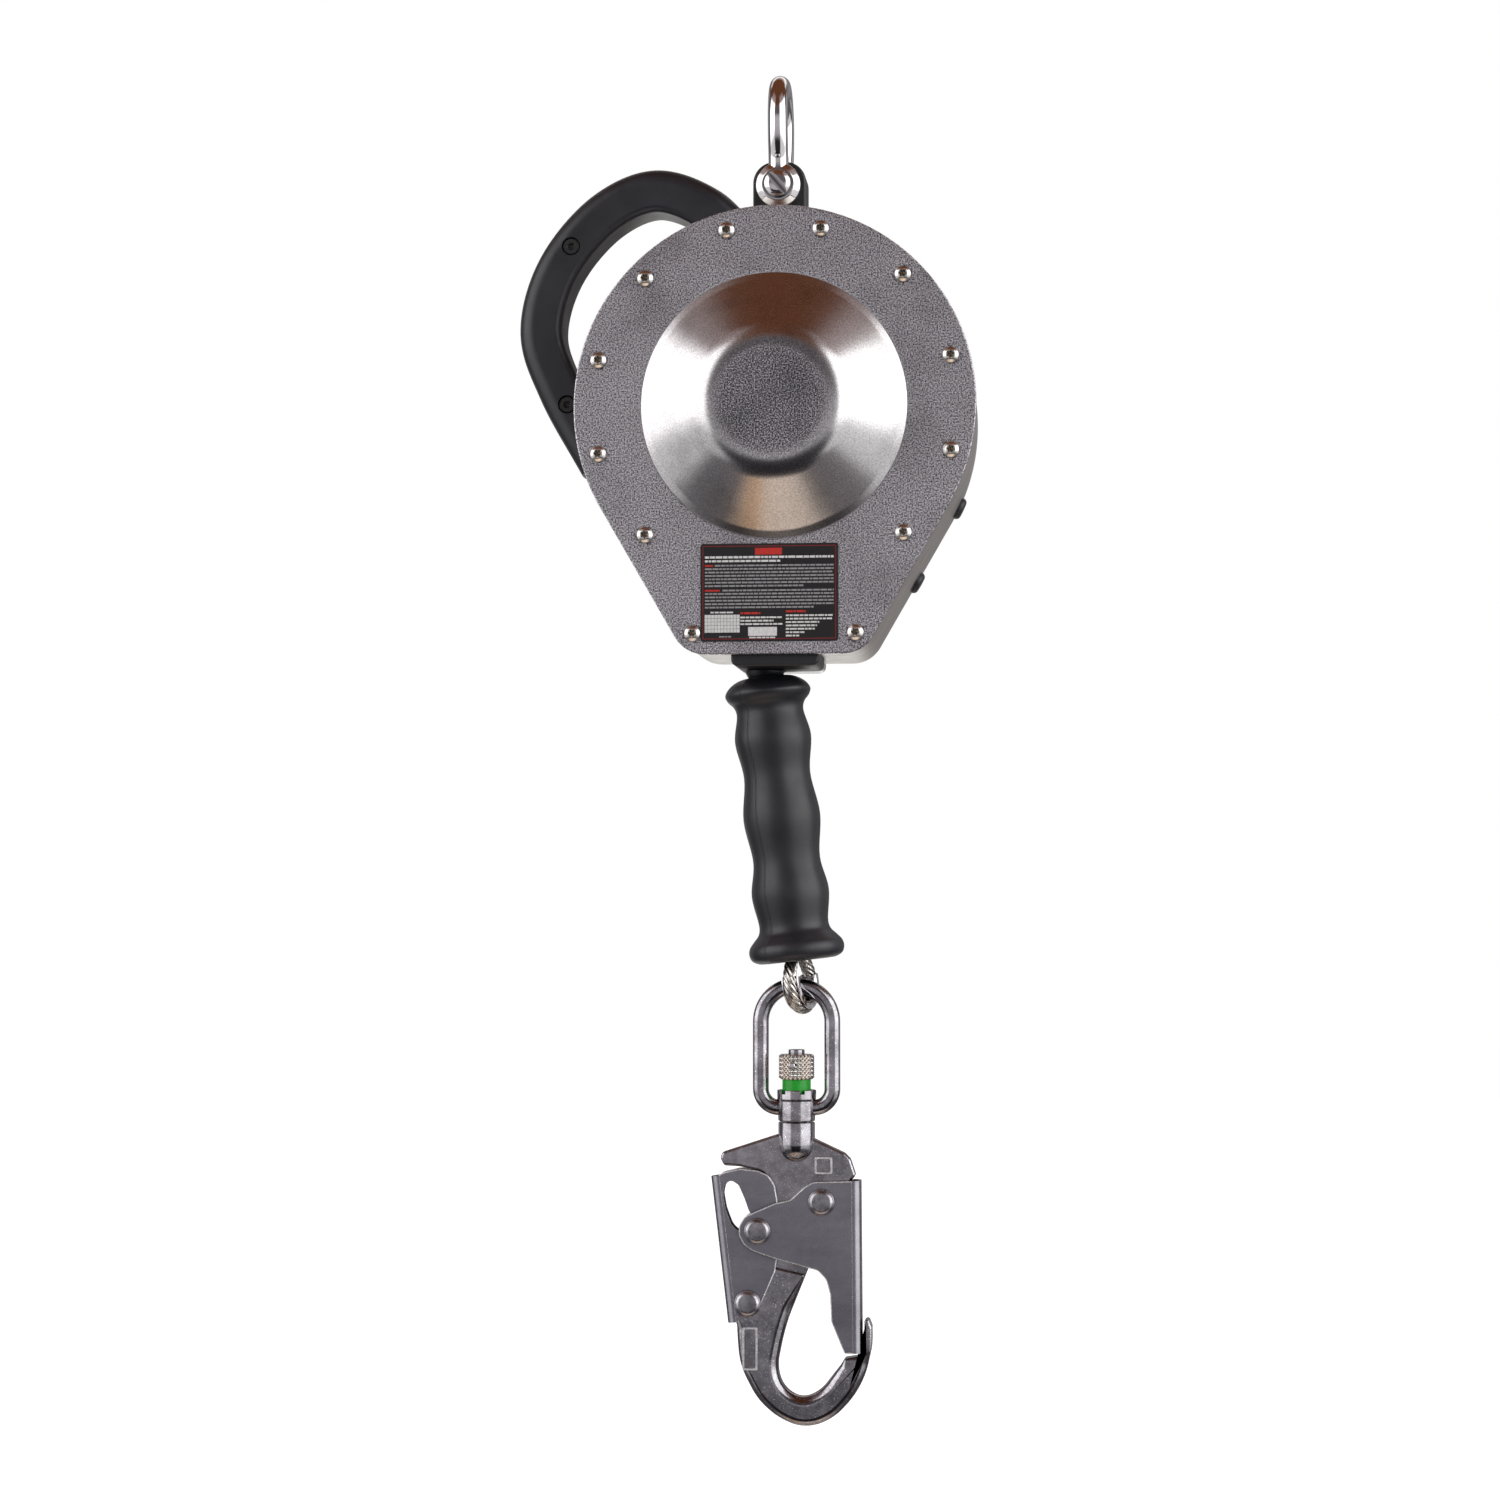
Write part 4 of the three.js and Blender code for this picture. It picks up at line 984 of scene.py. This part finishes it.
def rating_plate():
    """A black plate with a red border, plain bars in place of its print, a grid of empty
    squares and an empty white field."""
    r = 1.2
    (x0, x1), (z0, z1) = LABEL_X, LABEL_Z
    outline = rounded([(x0, z0, r), (x1, z0, r), (x1, z1, r), (x0, z1, r)], 4)
    sheet = plate("label", outline, LABEL_Y, LABEL_Y + 0.5, edge=0.15, steps=2)
    place(shaded(sheet), "housing", "rating_plate", "rating_plate")

    ink = Ink()
    label_border(ink, x1 - x0, z1 - z0)
    label_grid(ink)
    label_print(ink)
    marks = ink.obj("label_ink")
    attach(marks, "housing")


def label_border(ink, wide, tall):
    gap, line = 0.9, 0.45
    far = gap + line
    for z in (gap, tall - far):
        ink.block(gap, z, wide - 2 * gap, line, "border_ink")
    for x in (gap, wide - far):
        ink.block(x, far, line, tall - 2 * far, "border_ink")


def label_print(ink):
    """Bars for the lines of print, as left, top, width and height, and the filled fields."""
    dice = random.Random(11)
    ink.block(24.6, 2.0, 12.2, 3.0, "red_ink")
    ink.bars(dice, 2.0, 5.6, 58.0, 1.0, "white_ink")
    ink.bars(dice, 2.0, 7.4, 34.0, 0.9, "white_ink")
    ink.rows(dice, 2.0, 9.5, (58, 58, 58, 58, 58, 58, 45), 0.72, "print_ink", 1.53, 4.5)
    ink.block(2.0, 9.5, 3.6, 0.8, "red_ink")
    ink.rows(dice, 2.0, 20.7, (58, 58, 58, 58, 58, 49), 0.72, "print_ink", 1.53, 8)
    ink.block(2.0, 20.7, 6.8, 0.8, "red_ink")
    ink.bars(dice, 4.5, 30.6, 11.0, 0.7, "white_ink")
    ink.bars(dice, 18.0, 30.9, 9.0, 0.9, "red_ink")
    ink.rows(dice, 18.0, 32.9, (19, 15, 19), 0.75, "white_ink", 1.5)
    ink.block(21.5, 37.6, 13.0, 4.0, "white_ink")
    ink.bars(dice, 22.0, 42.0, 12.0, 0.7, "white_ink")
    ink.bars(dice, 38.5, 30.2, 9.5, 0.9, "red_ink")
    ink.rows(dice, 38.5, 32.1, (21, 21, 15, 14, 13, 9, 6), 0.75, "white_ink", 1.52)
    ink.bars(dice, 8.4, 41.6, 6.0, 0.6, "pale_ink")


def label_grid(ink):
    """A white panel ruled into small empty squares."""
    left, top, wide, tall = 1.9, 32.0, 15.8, 8.0
    columns, rows = 11, 5
    line = 0.2
    ink.block(left, top, wide, tall, "white_ink")
    for i in range(1, columns):
        ink.block(left + wide * i / columns - line / 2, top, line, tall, "pale_ink", 0.03)
    for i in range(1, rows):
        ink.block(left, top + tall * i / rows - line / 2, wide, line, "pale_ink", 0.035)


# ---- Shackle and lug -------------------------------------------------------------------
def shackle():
    """A forged bow with a turned eye at each end, and the slotted pin through the eyes."""
    hub = (0, 0, PIN_Z)
    crown_z = BOW_R - CROWN_R
    half = [(13.9, PIN_Z + 6), (14.2, -32), (16.6, -24), *arc(0, crown_z, CROWN_R, 0, 90, 6)]
    whole = half + [(-y, z) for y, z in reversed(half[:-1])]
    line = [Vector((0, p.x, p.y)) for p in smooth_line(whole, 5)]
    bow = swept("bow", line, circle(0, 0, BOW_R, 40), Vector((1, 0, 0)))
    y0, y1 = EYE_Y
    eye = rounded_line([
        (0, y0, 0), (EYE_R, y0, 1.0), (EYE_R, y1 - 1.9, 0.9), (7.4, y1, 2.0),
        (5.2, y1, 0.5), (5.2, y1 - 1, 0), (0, y1 - 1, 0),
    ], 6)
    joined(bow, *[turned("eye", eye, hub, axis, 72) for axis in (FORWARD, BACKWARD)])
    bore = rod("bore", 5.05, -30, 30, hub, BACKWARD, 48)
    dimple = turned("dimple", [(0, -1.2), (1.1, -0.6), (1.6, 1), (0, 1)], (0, -19.0, -31.5), (0, -1, 0.1), 24)
    place(shaded(cut(bow, bore, dimple), 40), "shackle", "polished_steel", "shackle_bow")

    head = -y1
    profile = rounded_line([
        (0, head - 4.0, 0), (4.0, head - 3.7, 5.0), (6.1, head - 2.7, 0.7), (6.1, head, 0),
        (5, head, 0), (5, 20.5, 0.8), (0, 20.5, 0),
    ], 5)
    pin = turned("pin", profile, hub, BACKWARD, 64)
    # The slot's cutter is a square bar on its edge, so that the slot is a V.
    slot = plate("slot", [(-9, -1.5), (9, -1.5), (9, 1.5), (-9, 1.5)], -1.5, 1.5)
    turn = Matrix.Rotation(math.radians(50), 4, "Y") @ Matrix.Rotation(math.radians(45), 4, "X")
    slot.data.transform(Matrix.Translation(Vector((0, head - 4.1, PIN_Z)) * MM) @ turn)
    place(shaded(cut(pin, slot), 40), "shackle", "polished_steel", "shackle_pin")


def lug():
    """The rounded lug above the cover, with the head inside that a bolt passes through."""
    top = [(12.25, -70, 0), (12.25, -32.2, 9.8), (-12.25, -32.2, 9.8), (-12.25, -70, 0)]
    obj = plate("lug", rounded(top, 12), -9, 9, edge=1.2)
    head = plate("lug_head", [(-18, -79), (18, -79), (18, -66), (-18, -66)], -23.8, 26.9)
    pin_bore = rod("pin_bore", 5.1, -12, 12, (0, 0, PIN_Z), BACKWARD, 40)
    bolt_bore = rod("bolt_bore", 3.1, -40, 40, (0, 0, -72.5), BACKWARD, 24)
    place(shaded(cut(joined(obj, head), pin_bore, bolt_bore)), "housing", "black_plastic", "anchor_lug")


# ---- Rope ------------------------------------------------------------------------------
def rope_section(turn):
    """The outline of the strands laid round a core, turned by an angle. The strands are a
    little fuller than circles that only touch, and five points of each one show."""
    fuller, apart = 1.05, 0.62
    share = math.sin(math.pi / STRANDS)
    strand = fuller * ROPE_R * share / (1 + share)
    centre = ROPE_R - strand
    points = []
    for i in range(STRANDS):
        middle = turn + 2 * math.pi * i / STRANDS
        for step in range(-2, 3):
            a = middle + step * apart
            points.append((
                centre * math.cos(middle) + strand * math.cos(a),
                centre * math.sin(middle) + strand * math.sin(a),
            ))
    return points


def rope(name, line, side, turns, widths=None):
    """Laid rope down a flat line; `turns` holds the strands' angle at each of its points, and
    `widths` how much it is flattened out along `side`."""
    rings = []
    for i, point in enumerate(line):
        ahead = (line[min(i + 1, len(line) - 1)] - line[max(i - 1, 0)]).normalized()
        across = ahead.cross(side).normalized()
        wide = widths[i] if widths else 1.0
        rings.append([point + across * u + side * v * wide for u, v in rope_section(turns[i])])
    return lofted(name, rings)


def along_grip(s):
    """The place at a distance below the nozzle mouth, down the leaning axis."""
    return MOUTH + DOWN * s


def lead():
    """The rope between the nozzle and the grip. It stretches when the lifeline is pulled,
    so its strands are wound as they must look when it is fully out."""
    start, end = 1.2, 60.0
    steps = 300
    length = end - start
    line = []
    turns = []
    for i in range(steps + 1):
        drawn = (length + PAYOUT) * i / steps
        low, high = 0.0, 1.0
        for _ in range(30):
            t = (low + high) / 2
            reach = length * t + PAYOUT * t * t * (3 - 2 * t)
            low, high = (t, high) if reach < drawn else (low, t)
        line.append(along_grip(start + length * (low + high) / 2))
        turns.append(2 * math.pi * drawn / LAY)
    obj = shaded(rope("lead", line, BACKWARD, turns), 50)
    obj.data.materials.clear()
    obj.data.materials.append(LOOKS["wire_rope"])
    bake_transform(obj)
    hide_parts("cable_lead")


def eye_axes():
    """The rope eye's centre and axes: across it, down it, and out of its plane."""
    level = Vector((math.sin(EYE_YAW), math.cos(EYE_YAW), 0))
    wide = (level - DOWN * level.dot(DOWN)).normalized()
    return along_grip((MOUTH.z - EYE_Z) / -DOWN.z), wide, wide.cross(DOWN).normalized()


def rope_eye():
    """The rope's end, bent round a thimble and back into the grip."""
    centre, wide, normal = eye_axes()

    def at(u, s):
        return centre + wide * u + DOWN * s

    gap = 0.25
    split = ROPE_R + gap
    bend = [at(u, -s) for u, s in arc(0, 0, EYE_BEND_R, 160, 380, 14)]
    left = [at(-split, -76), at(-split, -50), at(-split, -22), at(-split - 2.4, -14)]
    right = [at(split + 2.4, -14), at(split, -22), at(split, -46)]
    line = smooth_line([*left, *bend, *right], 8)
    turns = [0.0]
    for a, b in zip(line, line[1:]):
        turns.append(turns[-1] + 2 * math.pi * (b - a).length / LAY)
    widths = []
    round_above, spread, widest = 26, 16, 0.3
    for point in line:
        t = min(max(((point - centre).dot(DOWN) + round_above) / spread, 0), 1)
        widths.append(1 + widest * t * t * (3 - 2 * t))
    obj = shaded(rope("eye_rope", line, normal, turns, widths), 50)
    place(obj, "handgrip", "wire_rope", "cable_eye")

    thick = 0.8
    floor_r = EYE_BEND_R - ROPE_R - gap
    wall = ROPE_R * 1.3 + 0.1
    lip = floor_r + 3.2
    inside = [(lip, -wall, 0.2), (floor_r, -wall, 2.2), (floor_r, wall, 2.2), (lip, wall, 0.2)]
    under, beside = floor_r - thick, wall + thick
    outside = [(lip, beside, 0.3), (under, beside, 3.0), (under, -beside, 3.0), (lip, -beside, 0.3)]
    channel = rounded(inside + outside, 5)
    rings = []
    for u, s in arc(0, 0, 1, 165, 375, 70):
        rings.append([at(u * r, -s * r) + normal * v for r, v in channel])
    place(shaded(lofted("thimble_channel", rings), 50), "handgrip", "polished_steel", "thimble")


# ---- Hand grip -------------------------------------------------------------------------
def grip():
    """A moulded rubber grip with two fine mould seams down it."""
    outside = [(p.x, p.y) for p in smooth_line(GRIP_PROFILE, 7)]
    profile = outside + list(GRIP_BORE)
    sides = 96
    seam_half, seam_height = 0.035, 0.22
    seams = (math.radians(55), math.radians(235))
    angles = [2 * math.pi * j / sides for j in range(sides)]
    angles = [a for a in angles if all(abs(a - seam) > seam_half for seam in seams)]
    angles += [seam + seam_half * k / 3 for seam in seams for k in range(-3, 4)]
    angles.sort()
    left = BACKWARD.cross(DOWN)
    rings = []
    for i, (r, s) in enumerate(profile):
        ring = []
        for a in angles:
            off = min(abs(a - seam) for seam in seams) / seam_half
            raised = seam_height * max(0.0, 1 - off) if 4 < i < len(outside) - 6 else 0.0
            ring.append(along_grip(s) + (FORWARD * math.sin(a) + left * math.cos(a)) * (r + raised))
        rings.append(ring)
    place(shaded(lofted("grip_rubber", rings, closed=True), 50), "handgrip", "black_rubber", "grip")


# ---- Swivel ----------------------------------------------------------------------------
def on_swivel(name, profile, sides):
    """A profile of (radius, Z) turned about the swivel's axis."""
    return turned(name, profile, (SWIVEL_X, 0, 0), UP, sides)


def swivel_link():
    """An oblong link whose lower bar is a barrel with three slots across its upper rim."""
    bend_r, corner = 16.4, 8.4
    crown, low = -428.0, -467.2
    left, right = SWIVEL_X - bend_r, SWIVEL_X + bend_r
    flat = [
        (SWIVEL_X - 5.5, low),
        *arc(left + corner, low + corner, corner, 270, 180, 12),
        *arc(SWIVEL_X, crown, bend_r, 180, 0, 36),
        *arc(right - corner, low + corner, corner, 0, -90, 12),
        (SWIVEL_X + 5.5, low),
    ]
    line = [Vector((x, 0, z)) for x, z in flat]
    section = rounded([(3.6, -3.6, 3.0), (3.6, 3.6, 3.0), (-3.6, 3.6, 3.0), (-3.6, -3.6, 3.0)], 6)
    bar = swept("link_bar", line, section, BACKWARD)
    barrel = rounded_line([
        (0, -473.3, 0), (8.5, -473.3, 0.6), (8.5, -464.2, 0.4), (8.9, -463.2, 0.4),
        (8.9, -459.1, 0.5), (7.1, -459.1, 0.4), (7.1, -461.3, 0), (0, -461.3, 0),
    ], 4)
    joined(bar, on_swivel("boss", barrel, 72))
    notches = []
    for angle in (22, 82, 142):
        notch = plate("notch", [(-1.1, -460.9), (1.1, -460.9), (1.1, -458), (-1.1, -458)], -12, 12)
        turn = Matrix.Rotation(math.radians(angle), 4, "Z")
        notch.data.transform(Matrix.Translation((SWIVEL_X * MM, 0, 0)) @ turn)
        notches.append(notch)
    bore = rod("swivel_bore", 4.6, -475, -455, (SWIVEL_X, 0, 0), UP, 40)
    place(shaded(cut(bar, bore, *notches), 40), "link", "forged_steel", "swivel_link")


def knurled(name, r, z0, z1):
    """A sleeve with a diamond knurl: two sets of slanted grooves leave rows of pyramids."""
    teeth, rows = 26, 56
    around = teeth * 8
    pitch, edge, deep = 1.9, 0.8, 0.7
    inner, end_r = 3.9, r - 1.0

    def saw(value):
        return 1 - abs(value % 1 * 2 - 1)

    def ring(z, radius_at):
        points = []
        for j in range(around):
            a = 2 * math.pi * j / around
            radius = radius_at(j / around * teeth)
            points.append(Vector((SWIVEL_X + radius * math.cos(a), radius * math.sin(a), z)))
        return points

    rings = [ring(z0, lambda _: inner), ring(z0, lambda _: end_r)]
    for k in range(rows + 1):
        z = z0 + edge + (z1 - z0 - 2 * edge) * k / rows
        row = (z - z0) / pitch
        rings.append(ring(z, lambda turn: r - deep + deep * min(saw(turn + row), saw(turn - row))))
    rings += [ring(z1, lambda _: end_r), ring(z1, lambda _: inner)]
    return lofted(name, rings, closed=True)


def stud_and_nut():
    """The hook's stud, its knurled nut and cross pin, and the green band under the nut."""
    low, high = -454.2, -442.9
    foot = HOOK_TOP - 8
    stud = rounded_line([
        (0, foot, 0), (4.5, foot, 0), (4.5, low, 0), (3.7, low, 0), (3.7, -440.7, 0.5), (0, -440.7, 0),
    ], 4)
    place(shaded(on_swivel("stud", stud, 48)), "hook", "forged_steel", "swivel_stud")
    sleeve = knurled("knurled_sleeve", 8.25, low, high)
    place(shaded(sleeve, 22), "hook", "polished_steel", "knurled_nut", look="zinc_steel")
    profile = rounded_line([(0, 4.6, 0), (1.5, 4.6, 0), (1.5, 8.6, 0), (1.5, 9.5, 0.9), (0, 9.5, 0)], 5)
    pin = turned("cross_pin", profile, (SWIVEL_X, 0, -447.9), (-0.16, -0.987, 0), 24)
    place(shaded(pin), "hook", "polished_steel", "nut_pin")
    band = rounded_line([(4.6, -461.1, 0), (6.5, -461.1, 0.3), (6.5, -454.25, 0.3), (4.6, -454.25, 0)], 4)
    indicator = shaded(on_swivel("indicator", band, 48))
    place(indicator, "hook", "indicator_green", "load_indicator_band")


# ---- Snap hook -------------------------------------------------------------------------
def bow_edge(x, z):
    """The bow's edge radius: nearly half round inside its opening, and less outside."""
    middle_x, middle_z, reach = WINDOW
    inside = math.hypot(x - SWIVEL_X - middle_x, z - HOOK_TOP - middle_z) < reach
    return WINDOW_EDGE if inside else BACK_EDGE


def hook_body():
    """The forging: a flat web, a thicker bow and a round shank on a ball, with two stamps."""
    web = plate("hook_forging", rounded(in_hook(WEB)), -WEB_HALF, WEB_HALF, edge=1.2)
    bow = plate("hook_bow", rounded(in_hook(LOWER), 8), -BOW_HALF, BOW_HALF, edge=bow_edge, steps=6)
    stem = arc(0, -10.2, 8.4, -90, 0, 15) + [(8.4, -0.5), (8.0, -0.1), (0, -0.1)]
    joined(web, bow, turned("shank", stem, (SWIVEL_X, 0, HOOK_TOP), UP, 64))
    place(shaded(web, 34), "hook", "forged_steel", "hook_body")
    stamp("stamp_square", (8.5, 16.6), (-23.6, -15.8), 0.8, WEB_HALF)
    stamp("stamp_strip", (-24.4, -17.5), (-112.4, -93), 0.6, BOW_HALF)


def stamp(name, across, up, r, half):
    """A raised blank field whose border takes the bright painted-highlight look, on both faces of the hook.
    """
    for part, inset, high, look in (("border", 0.0, 0.25, "painted_edge_highlight"), ("field", 0.9, 0.4, "forged_steel")):
        (x0, x1), (z0, z1) = ((low + inset, top - inset) for low, top in (across, up))
        outline = rounded(in_hook([(x0, z1, r), (x1, z1, r), (x1, z0, r), (x0, z0, r)]), 3)
        sides = []
        for start, end in ((-half - high, -half + 0.5), (half - 0.5, half + high)):
            sides.append(plate(f"{name}_{part}", outline, start, end, edge=0.15, steps=2))
        place(shaded(joined(*sides)), "hook", "forged_steel", look=look)


def folded_sheet(name, outline, top, low, into, inner, outer, *cuts):
    """Two cheeks and a spine, bent out of one sheet along the edge from top to low; `into`
    points from the fold to the cheeks."""
    thick = outer - inner
    overlap = 0.4
    cheek = []
    for x, z, r in outline:
        back = FOLD_R if (x, z) in (top, low) else 0
        cheek.append((x + into[0] * back, z + into[1] * back, r))
    cheek = rounded(in_hook(cheek))
    sides = [plate(name, cheek, side * inner, side * outer, edge=0.55, steps=2) for side in (-1, 1)]

    def bent(y, r):
        half = [(FOLD_R + overlap, -y), *arc(FOLD_R, FOLD_R - outer, r, 270, 180, 8)]
        return half + [(u, -v) for u, v in reversed(half)]

    section = bent(outer, FOLD_R) + bent(inner, FOLD_R - thick)[::-1]
    rings = []
    for x, z in in_hook([top, low]):
        rings.append([Vector((x + into[0] * u, y, z + into[1] * u)) for u, y in section])
    obj = joined(*sides, lofted(name + "_spine", rings))
    if cuts:
        cut(obj, *cuts)
    return shaded(obj, 34)


def paint_edge_highlights(obj, top, into):
    """Painted highlights on the edges round a folded sheet, but not on its fold."""
    (x, z), = in_hook([top])

    def on_edge(centre, normal):
        from_fold = (centre.x - x) * into[0] + (centre.z - z) * into[1]
        return abs(normal.y) < 0.96 and from_fold > FOLD_R + 0.2

    trimmed(obj, "painted_edge_highlight", on_edge)


def gate():
    top, low = (29.6, -26.4), (30.1, -104.2)
    into = (-1, 0)
    obj = folded_sheet("gate_sheet", GATE, top, low, into, 5.1, 6.3)
    place(obj, "gate_leaf", "sheet_steel", "gate")
    paint_edge_highlights(obj, top, into)


def lever():
    top, low = (-39.1, -25), (-31.3, -91.3)
    way = (Vector(low) - Vector(top)).normalized()
    into = (-way.y, way.x)
    slot = plate("slot_cut", rounded(in_hook(LEVER_SLOT)), -12, 12)
    obj = folded_sheet("lever_sheet", LEVER, top, low, into, 3.7, 4.8, slot)
    place(obj, "lever", "sheet_steel", "lock_lever")
    paint_edge_highlights(obj, top, into)


def rivet(name, centre, half, body, node):
    """A rivet with a flat rim round a low domed middle, on both sides."""
    head = rounded_line([
        (0, half + 1.9, 0), (4.3, half + 1.75, 1.4), (5.2, half + 1.1, 0.4), (5.4, half + 0.8, 0.1),
        (5.8, half + 0.75, 0.2), (6.0, half + 0.5, 0.1), (6.0, half, 0),
    ], 5)
    profile = [(r, -h) for r, h in head] + [(2, -half), (2, half)] + head[::-1]
    (x, z), = in_hook([centre])
    obj = shaded(turned(name, profile, (x, 0, z), BACKWARD, 48), 34)
    place(obj, body, "polished_steel", node, look="rivet_steel")


# ---- Stage -----------------------------------------------------------------------------
CAMERA = Vector((0.128, -1.493, -0.378))
AIM = Vector((-0.0145, 0.0, -0.3035))
VIEW_WIDTH = 0.6903
SENSOR = 36.0
FLOOR_Z = -800.0
FLOOR_HALF = 6000.0


def aimed(obj, start, target):
    """Puts an object at a place, with its -Z looking at another."""
    obj.location = start
    obj.rotation_mode = "QUATERNION"
    obj.rotation_quaternion = (Vector(target) - Vector(start)).to_track_quat("-Z", "Y")


def camera():
    data = bpy.data.cameras.new("camera")
    data.sensor_width = SENSOR
    data.lens = SENSOR * (AIM - CAMERA).length / VIEW_WIDTH
    data.clip_start = 0.05
    obj = linked("camera", data)
    aimed(obj, CAMERA, AIM)
    bpy.context.scene.camera = obj


def softbox(name, place_at, size, power):
    """A soft light that faces the middle of the object."""
    data = bpy.data.lights.new(name, "AREA")
    data.shape = "RECTANGLE"
    data.size, data.size_y = size
    data.energy = power
    aimed(linked(name, data), place_at, (0, 0, -0.25))


def studio():
    softbox("top_box", (0.1, 1.6, 1.5), (2.0, 1.0), 2)
    softbox("back_left", (-1.3, 1.4, 0.1), (0.7, 1.6), 1)
    softbox("back_right", (1.4, 1.2, 0.1), (0.7, 1.6), 1)


# The room, as (azimuth, elevation, half width, half height, softness, colour) in degrees.
# Azimuth 0 is in front of the object, and 90 is on its right.
ROOM = (
    (0, -27, 78, 22, 8, (0.028, 0.026, 0.03)),
    (-56, -36, 24, 13, 12, (0.17, 0.16, 0.17)),
    (58, -36, 26, 13, 12, (0.2, 0.185, 0.19)),
    (0, 18, 31, 14, 8, (0.13, 0.12, 0.13)),
    (0, 1, 31, 10, 8, (0.5, 0.485, 0.51)),
    (-6, -63, 50, 11, 7, (1.0, 0.82, 0.68)),
    (-33, -60, 13, 8, 7, (0.85, 0.50, 0.25)),
    (-112, 0, 34, 60, 14, (0.13, 0.12, 0.13)),
    (112, 0, 34, 60, 14, (0.13, 0.12, 0.13)),
    (-180, -25, 32, 21, 8, (1.05, 1.04, 1.02)),
    (180, -25, 6, 21, 8, (1.05, 1.04, 1.02)),
    (0, 66, 181, 32, 14, (0.15, 0.055, 0.026)),
    (-55, 44, 26, 12, 14, (0.4, 0.32, 0.31)),
    (55, 44, 26, 12, 14, (0.4, 0.32, 0.31)),
    (180, 40, 50, 5, 5, (0.9, 0.9, 0.9)),
    (-180, 40, 50, 5, 5, (0.9, 0.9, 0.9)),
    (-62, -13, 28, 13, 8, (0.8, 0.79, 0.8)),
    (64, -13, 32, 13, 8, (0.9, 0.89, 0.9)),
    (-62, 17, 30, 21, 10, (2.2, 2.18, 2.2)),
    (66, 17, 36, 21, 10, (2.6, 2.6, 2.6)),
)
# The room behind the patches, from straight down (0) to straight up (1).
BACKDROP = (
    (0.0, (0.62, 0.56, 0.5)), (0.3, (0.3, 0.28, 0.27)), (0.62, (0.24, 0.23, 0.24)), (1.0, (0.15, 0.06, 0.03)),
)


def world():
    """White behind the object, and a room of soft patches for light and reflections."""
    made = bpy.data.worlds.new("studio")
    made.use_nodes = True
    bpy.context.scene.world = made
    tree = made.node_tree
    tree.nodes.clear()

    def worked(operation, *inputs):
        return add_node(tree, "Math", dict(enumerate(inputs)), operation=operation).outputs[0]

    way = add_node(tree, "TexCoord", {}).outputs["Generated"]
    way = add_node(tree, "SeparateXYZ", {"Vector": way}).outputs
    azimuth = worked("ARCTAN2", way["X"], worked("MULTIPLY", way["Y"], -1.0))
    elevation = worked("ARCSINE", way["Z"])

    def inside(angle, middle, half, soft):
        off = worked("ABSOLUTE", worked("SUBTRACT", angle, math.radians(middle)))
        near, far = math.radians(half - soft / 2), math.radians(half + soft / 2)
        return remap(tree, off, near, far, 1.0, 0.0, "SMOOTHSTEP")

    light = add_ramp(tree, remap(tree, way["Z"], -1.0, 1.0), BACKDROP)
    for around, up, wide, tall, soft, colour in ROOM:
        share = worked("MULTIPLY", inside(azimuth, around, wide, soft), inside(elevation, up, tall, soft))
        light = add_mix(tree, "MIX", share, light, (*colour, 1))
    room = add_node(tree, "Background", {"Color": light}).outputs[0]
    white = add_node(tree, "Background", {"Color": (1, 1, 1, 1)}).outputs[0]
    seen = add_node(tree, "LightPath", {}).outputs["Is Camera Ray"]
    both = add_node(tree, "MixShader", {0: seen, 1: room, 2: white}).outputs[0]
    add_node(tree, "OutputWorld", {"Surface": both})


def floor():
    corners = [(-1, -1), (1, -1), (1, 1), (-1, 1)]
    obj = new_object("floor", [(FLOOR_HALF * x, FLOOR_HALF * y, FLOOR_Z) for x, y in corners], [(0, 1, 2, 3)])
    look = Look("floor_paint", (0.86, 0.86, 0.86), 0.0, 0.7)
    look.colour(look.ramp(look.noise(6, 3), (0.3, 0.84), (0.7, 0.88)))
    look.set(Emission_Color=(1, 1, 1, 1), Emission_Strength=0.8)
    obj.data.materials.append(look.material)
    obj.visible_glossy = False
    obj.visible_diffuse = False


# ---- Assembly --------------------------------------------------------------------------
def build():
    camera()
    paint_frame()
    cover("cover_front_skin", -1, FRONT_RIM, "front_cover")
    cover("cover_rear_skin", 1, REAR_RIM, "rear_cover")
    gasket("gasket_front_ring", -1, 0.4, "front_gasket")
    gasket("gasket_rear_ring", 1, 4.8, "rear_gasket")
    shell()
    cover_screws()
    rating_plate()
    guard()
    plug("plug_upper", -26, 0, "side_plug_1")
    plug("plug_lower", -30, 33.6, "side_plug_2")
    handle()
    shackle()
    lug()
    lead()
    rope_eye()
    grip()
    swivel_link()
    stud_and_nut()
    hook_body()
    gate()
    lever()
    rivet("rivet_gate", GATE_PIVOT, 6.35, "hook", "gate_rivet")
    rivet("rivet_pin", GATE_PIN, 6.35, "gate_leaf", "gate_pin")
    rivet("rivet_lever", LEVER_PIVOT, 4.85, "hook", "lever_rivet")
    floor()
    studio()
    world()
    bpy.context.scene.view_settings.view_transform = "Standard"


build()
